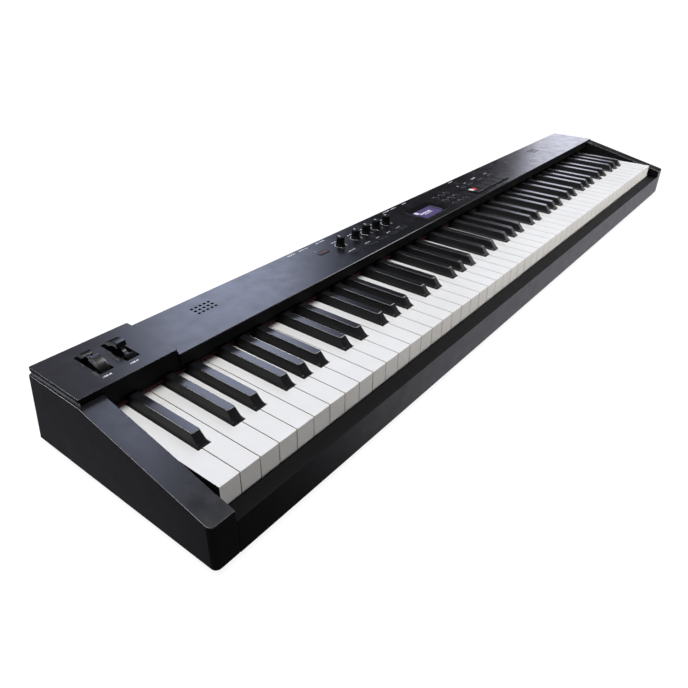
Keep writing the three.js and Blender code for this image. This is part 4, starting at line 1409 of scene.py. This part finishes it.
# ---- floor and lights ----
studio = {
    "floor": 60.0,
    # radius and height, in metres like all of the studio
    "backdrop": (27.0, 40.0),
    "backdropGlow": 1.02,
    "floorGlow": 0.9,
    "dim": 0.02,
    # place, lean and tilt in degrees, spread, strength and tint
    "sky": ((-0.5, 0, 2), (9.0, -12.0), 40.0, 2.65, (0.985, 0.99, 1.0)),
    # soft cards far away: azimuth and elevation in degrees, half sizes, edge, strength, tint
    "cards": [
        (49.9, 43.0, 3.5, 20.0, 6.2, 3.0, (0.84, 0.92, 1.24)),
        (18.3, 33.0, 2.0, 27.0, 1.3, 2.75, (0.93, 0.94, 1.1)),
        (32.0, 62.0, 6.0, 5.0, 7.0, 0.1, (1.0, 1.0, 1.0)),
        (69.0, 32.0, 6.0, 10.0, 6.0, 0.35, (0.95, 0.95, 1.1)),
        (-24.5, 15.0, 4.5, 5.0, 4.0, 1.1, (1.0, 0.98, 1.0)),
        (-21.0, -25.0, 12.0, 11.0, 8.0, 0.62, (0.97, 0.95, 1.05)),
        (114.0, -38.0, 8.0, 10.0, 8.0, 0.1, (0.95, 0.92, 1.1)),
    ],
    # spread in degrees, watts, place, aim, size and tint: soft light alone, then mirrored alone
    "soft": {
        "frontLight": (
            120, 4.3, (0.75, -1.25, 0.14), (0.75, -0.11, 0.05), (0.8, 0.26), (1.0, 0.965, 0.93),
        ),
        "middleLight": (
            80, 0.4, (-0.05, -0.95, 0.12), (-0.05, -0.11, 0.05), (0.5, 0.2), (1.0, 0.965, 0.93),
        ),
    },
    "mirrored": {
        "rimLight": (
            180, 170.0, (-2.32, 1.34, 2.09), (0.0, 0.0, 0.08), (3.4, 0.9), (0.96, 0.98, 1.06),
        ),
        "edgeLight": (
            180, 110.0, (1.9, -0.69, 2.57), (0.0, 0.0, 0.08), (1.2, 2.4), (1.0, 1.0, 1.0),
        ),
    },
}


def buildFloor():
    deselect()
    bpy.ops.mesh.primitive_plane_add(size=studio["floor"])
    floor = bpy.context.object
    floor.name = "floor"
    material, tree, shader = newMaterial("floorWhite", (0.16, 0.16, 0.16), 0.9)
    tint(tree, shader, noise(tree, 0.5, 2), ((0.155, 0.155, 0.155), (0.165, 0.165, 0.165)))
    shader.inputs["Specular IOR Level"].default_value = 0.0
    shader.inputs["Emission Color"].default_value = (1, 1, 1, 1)
    shader.inputs["Emission Strength"].default_value = studio["floorGlow"]
    paint(floor, material)
    # a round backdrop, so that low views also end in pale paper
    radius, tall = studio["backdrop"]
    bpy.ops.mesh.primitive_cylinder_add(
        vertices=96, radius=radius, depth=tall, end_fill_type="NOTHING"
    )
    backdrop = bpy.context.object
    backdrop.name = "backdrop"
    paint(backdrop, glow("backdropWhite", (1.0, 1.0, 1.0), studio["backdropGlow"], mottle=0.0))
    for obj in (floor, backdrop):
        obj.visible_diffuse = False
        obj.visible_glossy = False
    backdrop.visible_shadow = False


def addLight(name, kind, at, strength, color):
    data = bpy.data.lights.new(name, kind)
    data.energy = strength
    data.color = color
    obj = bpy.data.objects.new(name, data)
    bpy.context.scene.collection.objects.link(obj)
    obj.location = at
    return obj, data


def buildLights():
    at, (lean, tilt), spread, strength, color = studio["sky"]
    obj, data = addLight("overheadSoft", "SUN", at, strength, color)
    data.angle = math.radians(spread)
    obj.rotation_euler = (math.radians(lean), math.radians(tilt), 0)
    for use in ("soft", "mirrored"):
        for name, (spread, watts, at, aim, size, color) in studio[use].items():
            obj, data = addLight(name, "AREA", at, watts, color)
            data.shape = "RECTANGLE"
            data.size, data.size_y = size
            data.spread = math.radians(spread)
            direction = Vector(aim) - Vector(at)
            obj.rotation_euler = direction.to_track_quat("-Z", "Y").to_euler()
            obj.visible_camera = False
            obj.visible_diffuse = use == "soft"
            obj.visible_glossy = use == "mirrored"


def buildWorld():
    # a dim room with soft cards in it, each a smooth patch of azimuth and elevation
    world = bpy.data.worlds.new("studio")
    world.use_nodes = True
    tree = world.node_tree

    def maths(operation, *values):
        node = tree.nodes.new("ShaderNodeMath")
        node.operation = operation
        for i, v in enumerate(values):
            if isinstance(v, (int, float)):
                node.inputs[i].default_value = v
            else:
                tree.links.new(v, node.inputs[i])
        return node.outputs[0]

    coords = tree.nodes.new("ShaderNodeTexCoord")
    split = tree.nodes.new("ShaderNodeSeparateXYZ")
    tree.links.new(coords.outputs["Generated"], split.inputs[0])
    x, y, z = split.outputs
    azimuth = maths("ARCTAN2", y, x)
    elevation = maths("ARCSINE", z)

    def patch(angle, middle, half, edge):
        away = maths("ABSOLUTE", maths("SUBTRACT", angle, math.radians(middle)))
        fade = (math.radians(half), math.radians(half + edge * 1.6))
        ramp = mapRange(tree, away, fade, (1.0, 0.0))
        ramp.interpolation_type = "SMOOTHSTEP"
        return ramp.outputs["Result"]

    background = tree.nodes["Background"]
    background.inputs["Color"].default_value = (1, 1, 1, 1)
    background.inputs["Strength"].default_value = studio["dim"]
    total = background.outputs[0]
    for az, el, halfAz, halfEl, edge, strength, color in studio["cards"]:
        glowing = tree.nodes.new("ShaderNodeBackground")
        glowing.inputs["Color"].default_value = (*color, 1)
        across, up = patch(azimuth, az, halfAz, edge), patch(elevation, el, halfEl, edge)
        shape = maths("MULTIPLY", across, up)
        tree.links.new(maths("MULTIPLY", shape, strength), glowing.inputs["Strength"])
        both = tree.nodes.new("ShaderNodeAddShader")
        tree.links.new(total, both.inputs[0])
        tree.links.new(glowing.outputs[0], both.inputs[1])
        total = both.outputs[0]
    tree.links.new(total, tree.nodes["World Output"].inputs["Surface"])
    bpy.context.scene.world = world


buildFloor()
buildLights()
buildWorld()
bpy.context.scene.view_settings.view_transform = "Standard"
print("stage: studio")

bpy.context.view_layer.update()
